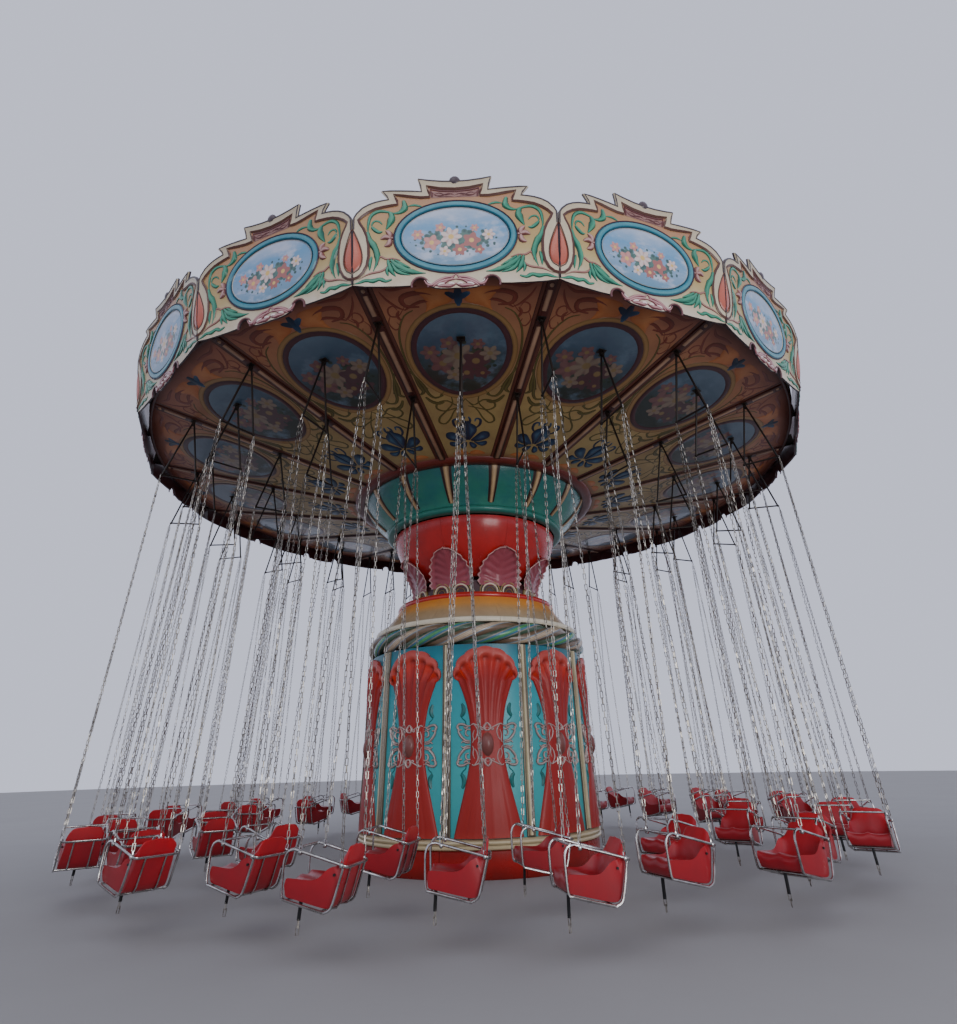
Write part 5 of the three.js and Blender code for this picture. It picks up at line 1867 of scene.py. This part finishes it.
@dataclass
class Chairs(Assembly):
    """Forty-eight chairs in three rows, each with its hanger, four chains, frame, seat and latch sleeve."""

    rows: tuple[tuple[str, float, float], ...] = (
        ("outer", 6.10, 0.5), ("middle", 5.67, 0.0), ("inner", 4.47, 0.5))
    pin_drop: float = 0.07
    rail_height: float = 0.777
    drop: float = 1.11
    reach: float = 0.29
    side: float = 0.25
    tube: float = 0.0115
    pitch: float = 0.058
    front_foot: tuple[float, float] = (-0.198, 0.045)
    rear_foot: tuple[float, float] = (0.205, -0.045)
    frame_line: Outline = (
        (0.215, -0.066), (0.18, -0.057), (-0.2, 0.035), (-0.262, 0.046), (-0.315, 0.028), (-0.342, -0.03),
        (-0.343, -0.12), (-0.337, -0.255), (-0.325, -0.295), (-0.285, -0.312), (0.035, -0.381),
        (0.085, -0.384), (0.128, -0.365), (0.152, -0.325), (0.19, -0.2), (0.222, -0.085))
    seat_middle: Outline = (
        (-0.322, -0.235), (-0.312, -0.195), (-0.28, -0.175), (-0.2, -0.185), (-0.1, -0.205), (0.0, -0.225),
        (0.06, -0.22), (0.1, -0.17), (0.145, -0.08), (0.19, 0.0), (0.225, 0.062))
    seat_side: Outline = (
        (-0.326, -0.225), (-0.32, -0.182), (-0.3, -0.162), (-0.2, -0.166), (-0.11, -0.172), (-0.04, -0.168),
        (0.015, -0.14), (0.062, -0.1), (0.115, -0.078), (0.185, -0.066), (0.233, -0.012))
    seat_under: Outline = (
        (-0.318, -0.285), (-0.3, -0.3), (-0.24, -0.312), (-0.16, -0.328), (-0.08, -0.345), (0.0, -0.36),
        (0.08, -0.372), (0.138, -0.35), (0.18, -0.24), (0.218, -0.1), (0.239, 0.058))

    def seat(self) -> Form:
        """Makes the seat shell about the middle of the side rails.

        Returns:
            A closed shell with a ridged seat, rising sides and a lobed front edge.
        """
        middle, edge, under = (curve(line, 2) for line in (self.seat_middle, self.seat_side, self.seat_under))
        last = len(middle) - 1
        form = Form()
        skins = []
        for name in ("top", "under"):
            made = bmesh.ops.create_grid(form.bm, x_segments=14, y_segments=last, size=1)["verts"]
            for vert in made:
                s, k = vert.co.x, round((vert.co.y + 1) / 2 * last)
                s = math.copysign(1 - (1 - abs(s)) ** 1.25, s)
                wall = abs(s) ** 6
                narrow = 1 - 0.14 * max(k / last - 0.72, 0.0) / 0.28 * abs(s)
                lobes = math.sin(math.pi * abs(s)) ** 2
                if name == "top":
                    point = middle[k].lerp(edge[k], wall)
                    front = max(1 - k / 5, 0.0)
                    lift = 0.016 * math.exp(-((s / 0.13) ** 2)) * min(k / 3, 1.0) * (1 - k / last * 0.6)
                    rise = lift + 0.02 * front * (0.5 - lobes)
                    vert.co = (s * 0.233 * narrow, point.x - 0.01 * lobes * front, point.y + rise)
                else:
                    round_in = 1 - 0.05 * (abs(s) > 0.9)
                    shoulder = 0.05 * abs(s) ** 3 * max(k / last - 0.8, 0.0) / 0.2
                    vert.co = (
                        s * 0.228 * round_in * narrow, under[k].x, under[k].y + 0.006 * wall - shoulder)
            skins.append({e for v in made for e in v.link_edges if e.is_boundary})
        bmesh.ops.bridge_loops(form.bm, edges=[*skins[0], *skins[1]])
        return form

    def frame(self) -> Form:
        """Makes the tube frame: two sides, the cross tubes, the back tubes and the chains' clamps."""
        form = Form()
        path = [Vector((0, p.x, p.y)) for p in curve(self.frame_line, 2)]
        for x in (-self.side, self.side):
            form.tube([p + Vector((x, 0, 0)) for p in path], self.tube)
            for along, height in (self.front_foot, self.rear_foot):
                form.block((0.036, 0.03, 0.036), (x, along, height - 0.022), 0.006)
                form.tube(
                    [
                        (x, along - 0.012, height), (x, along - 0.01, height + 0.026),
                        (x, along + 0.01, height + 0.026), (x, along + 0.012, height)],
                    0.006, Section.WIRE)
        reach = self.side
        bend = ((0.0, 0.2, -0.062), (0.004, 0.226, -0.07), (0.018, 0.246, -0.076), (0.045, 0.254, -0.08))
        corner = [(reach - inset, along, height) for inset, along, height in bend]
        form.tube([*corner, *reversed(flipped(corner))], self.tube)
        bars = ((-0.284, 0.046, 0.011), (-0.285, -0.312, 0.011), (0.05, -0.383, 0.011))
        for along, height, radius in bars:
            form.tube([(-reach, along, height), (reach, along, height)], radius)
        for x in (-0.11, 0.11):
            form.tube([(x, 0.05, -0.383), (x, 0.13, -0.374), (x, 0.165, -0.33), (x, 0.236, -0.08)], 0.009)
        return form

    def hanger(self) -> Form:
        """Makes the pin's eye, the two rods and the spreader, about the pin."""
        form = Form()
        form.plate([oval(0.026, 0.026, steps=12), oval(0.0126, 0.0126, steps=10)], -0.015, 0.015)
        form.moved(Matrix.Rotation(math.pi / 2, 4, "X"))
        low = -self.drop
        for x in (-1, 1):
            form.tube([(x * 0.016, 0, -0.016), (x * (self.reach - 0.02), 0, low + 0.012)], 0.016)
            form.ball(0.024, (x * (self.reach - 0.015), 0, low))
        form.tube([(-self.reach, 0, low), (self.reach, 0, low)], 0.015)
        form.block((0.03, 0.024, 0.05), (0, 0, -0.036), 0.004)
        return form

    def link(self) -> bpy.types.Mesh:
        """Makes one chain link, upright in the x-z plane."""
        wide, tall = 0.0125, 0.0312
        ring = [Vector((x * wide, 0, z * tall)) for x, z in ((1, 1), (-1, 1), (-1, -1), (1, -1))]
        return Form().tube(ring, 0.0055, Section.WIRE, closed=True).mesh("link", 80)

    def chains(self, rail: float) -> Form:
        """Makes a chair's four chains from the spreader to the rails.

        Args:
            rail: height of the middle of the rails, from the pin.

        Returns:
            The chains and their shackles.
        """
        form = Form()
        link = self.link()
        for x in (-1, 1):
            for along, height in (self.front_foot, self.rear_foot):
                sign = math.copysign(1, along)
                top = Vector((x * self.reach, sign * 0.022, -self.drop - 0.085))
                foot = Vector((x * self.side, along, rail + height + 0.03))
                run = foot - top
                count = round(run.length / self.pitch)
                aim = run.to_track_quat("Z", "X").to_matrix().to_4x4()
                for i in range(count):
                    wobble = 0.3 * math.sin(i * 0.5 + along * 40)
                    spin = Matrix.Rotation(math.pi / 4 + math.pi / 2 * (i % 2) + wobble, 4, "Z")
                    middle = top + run * ((i + 0.5) / count)
                    form.join(link, Matrix.Translation(middle) @ aim @ spin)
                form.tube(
                    [(x * self.reach, sign * 0.004, -self.drop - 0.035), top + Vector((0, 0, 0.012))],
                    0.0065, Section.WIRE)
            form.tube(
                [(x * self.reach, 0, -self.drop + 0.012), (x * self.reach, 0, -self.drop - 0.042)], 0.011)
        bpy.data.meshes.remove(link)
        return form

    def sleeve(self) -> Form:
        """Makes the latch chain's black sleeve with the chain's end, and the two black side bolts."""
        form = Form()
        form.tube([(0, -0.262, -0.298), (0, -0.264, -0.35), (0, -0.268, -0.43), (0, -0.27, -0.488)], 0.0165)
        for x in (-1, 1):
            form.tube([(x * 0.212, 0.135, -0.135), (x * 0.234, 0.135, -0.135)], 0.011)
        link = self.link()
        for i in range(2):
            spin = Matrix.Rotation(math.pi / 2 * (i % 2) + 0.6, 4, "Z")
            form.join(link, Matrix.Translation((0, -0.27, -0.508 - i * 0.048)) @ spin)
        bpy.data.meshes.remove(link)
        form.bm.faces.ensure_lookup_table()
        for face in form.bm.faces:
            face.material_index = int(face.calc_center_median().z < -0.4885)
        return form

    def build(self) -> None:
        """Makes each row's patterns once and sets them in every bay."""
        for row, radius, shift in self.rows:
            rail = self.rail_height - (ceiling_height(radius) - self.pin_drop)
            down = Matrix.Translation((0, 0, rail))
            patterns = (
                ("seat", self.seat().moved(down), "chair_paint", (CHAIR_RED_SHADED_BELOW,), 50.0),
                ("frame", self.frame().moved(down), "chain_steel", (CHROME,), 60.0),
                ("hanger", self.hanger(), "dark_steel", (BLACK_STEEL,), 40.0),
                ("chains", self.chains(rail), "chain_steel", (CHAIN,), 80.0),
                ("sleeve", self.sleeve().moved(down), "sleeve_rubber", (SLEEVE, CHAIN), 60.0))
            meshes = [
                (part, form.mesh(f"{row}_{part}", smooth), slot, finishes) for part, form, slot, finishes,
                smooth in patterns]
            pin = Matrix.Translation((radius, 0, ceiling_height(radius) - self.pin_drop))
            for i in range(BAYS):
                chair = f"{row}_chair_{i + 1:02d}"
                place = turn((i + shift) * BAY) @ pin
                for part, pattern, slot, finishes in meshes:
                    mesh = pattern.copy()
                    mesh.transform(place)
                    replaced = (chair,) if part == "seat" else ()
                    self.pieces.append(
                        Piece(f"{chair}_{part}", mesh, finishes, chair + "_body", slot, replaced))
            for _, pattern, _, _ in meshes:
                bpy.data.meshes.remove(pattern)


@dataclass
class Structure:
    """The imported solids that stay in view: the mast and the canopy's steel frame."""

    finishes: tuple[tuple[str, Paint], ...] = (("lift_mast", MAST_STEEL), ("canopy_frame", BLACK_STEEL))

    def dress(self) -> None:
        """Paints the solids."""
        for name, finish in self.finishes:
            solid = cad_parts[name]
            solid.data.materials.clear()
            solid.data.materials.append(finish.material())
            log.info("%s painted", name)


@dataclass
class Studio:
    """Camera, soft light and plain pale floor."""

    distance: float = 12.58
    eye: float = 1.47
    aside: float = 1.55
    yaw: float = 0.69
    pitch: float = 30.52
    roll: float = -1.33
    focal_pixels: float = 582.0
    image: tuple[int, int] = (957, 1024)
    principal_row: float = 418.0

    def camera(self) -> None:
        """Sets the camera where the photograph was taken from."""
        data = bpy.data.cameras.new("camera")
        data.sensor_fit = "HORIZONTAL"
        data.sensor_width = 36.0
        data.lens = self.focal_pixels * data.sensor_width / self.image[0]
        data.shift_y = (self.principal_row - self.image[1] / 2) / self.image[0]
        data.clip_end = 400
        yaw, pitch, roll = (math.radians(a) for a in (self.yaw, self.pitch, self.roll))
        ahead = Vector((math.sin(yaw) * math.cos(pitch), math.cos(yaw) * math.cos(pitch), math.sin(pitch)))
        right = Vector((math.cos(yaw), -math.sin(yaw), 0))
        up = right.cross(ahead)
        across = right * math.cos(roll) + up * math.sin(roll)
        rise = up * math.cos(roll) - right * math.sin(roll)
        place = placed(across, rise, -ahead, Vector((0, -self.distance, self.eye)))
        thing = show("camera", data)
        thing.matrix_world = Matrix.Rotation(math.radians(self.aside), 4, "Z") @ place
        bpy.context.scene.camera = thing

    def lights(self) -> None:
        """Lights the ride with an even sky and two wide soft lamps."""
        world = bpy.data.worlds.new("sky")
        world.use_nodes = True
        graph = Graph(world.node_tree)
        back = graph.add("Background", {"Color": rgb("ccd0e4"), "Strength": 1.2})
        graph.add("OutputWorld", {"Surface": back.outputs[0]})
        bpy.context.scene.world = world
        for name, place, aim, size, power in (
            ("front lamp", (-6, -27, 20), (0, 0, 5), 16, 900),
            ("low lamp", (8, -19, 3.6), (0, 0, 6.0), 7, 1000)):
            data = bpy.data.lights.new(name, "AREA")
            data.energy = power
            data.size = size
            lamp = show(name, data)
            lamp.location = place
            lamp.rotation_euler = (Vector(aim) - Vector(place)).to_track_quat("-Z", "Y").to_euler()

    def floor(self) -> None:
        """Lays the plain pale floor."""
        form = Form()
        bmesh.ops.create_circle(form.bm, cap_ends=True, segments=96, radius=60)
        mesh = form.mesh("floor")
        finish = Paint(
            "studio floor", ((0.0, "9c9a98"),), mottle=0.08, shade="8a8886", streaks=0.0, dirt=0.0,
            rough=0.85, coat=0.0, patch=0.5)
        mesh.materials.append(finish.material())
        show("floor", mesh)

    def build(self) -> None:
        """Sets up the whole studio."""
        self.camera()
        self.lights()
        self.floor()


def main() -> None:
    """Builds and dresses the ride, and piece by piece."""
    logging.basicConfig(level=logging.INFO, format="%(name)s: %(message)s")
    Studio().build()
    Structure().dress()
    parts: tuple[Assembly, ...] = (
        Plinth(), Column(), RopeMoulding(), SteppedCap(), LeafCollar(), RedBowl(), GreenBowl(), Ceiling(),
        RoundingBoards(), CanopyTop(), Chairs())
    for part in parts:
        part.build()
        part.dress()
        log.info("%s: %d pieces", type(part).__name__, len(part.pieces))


if __name__ == "__main__":
    main()
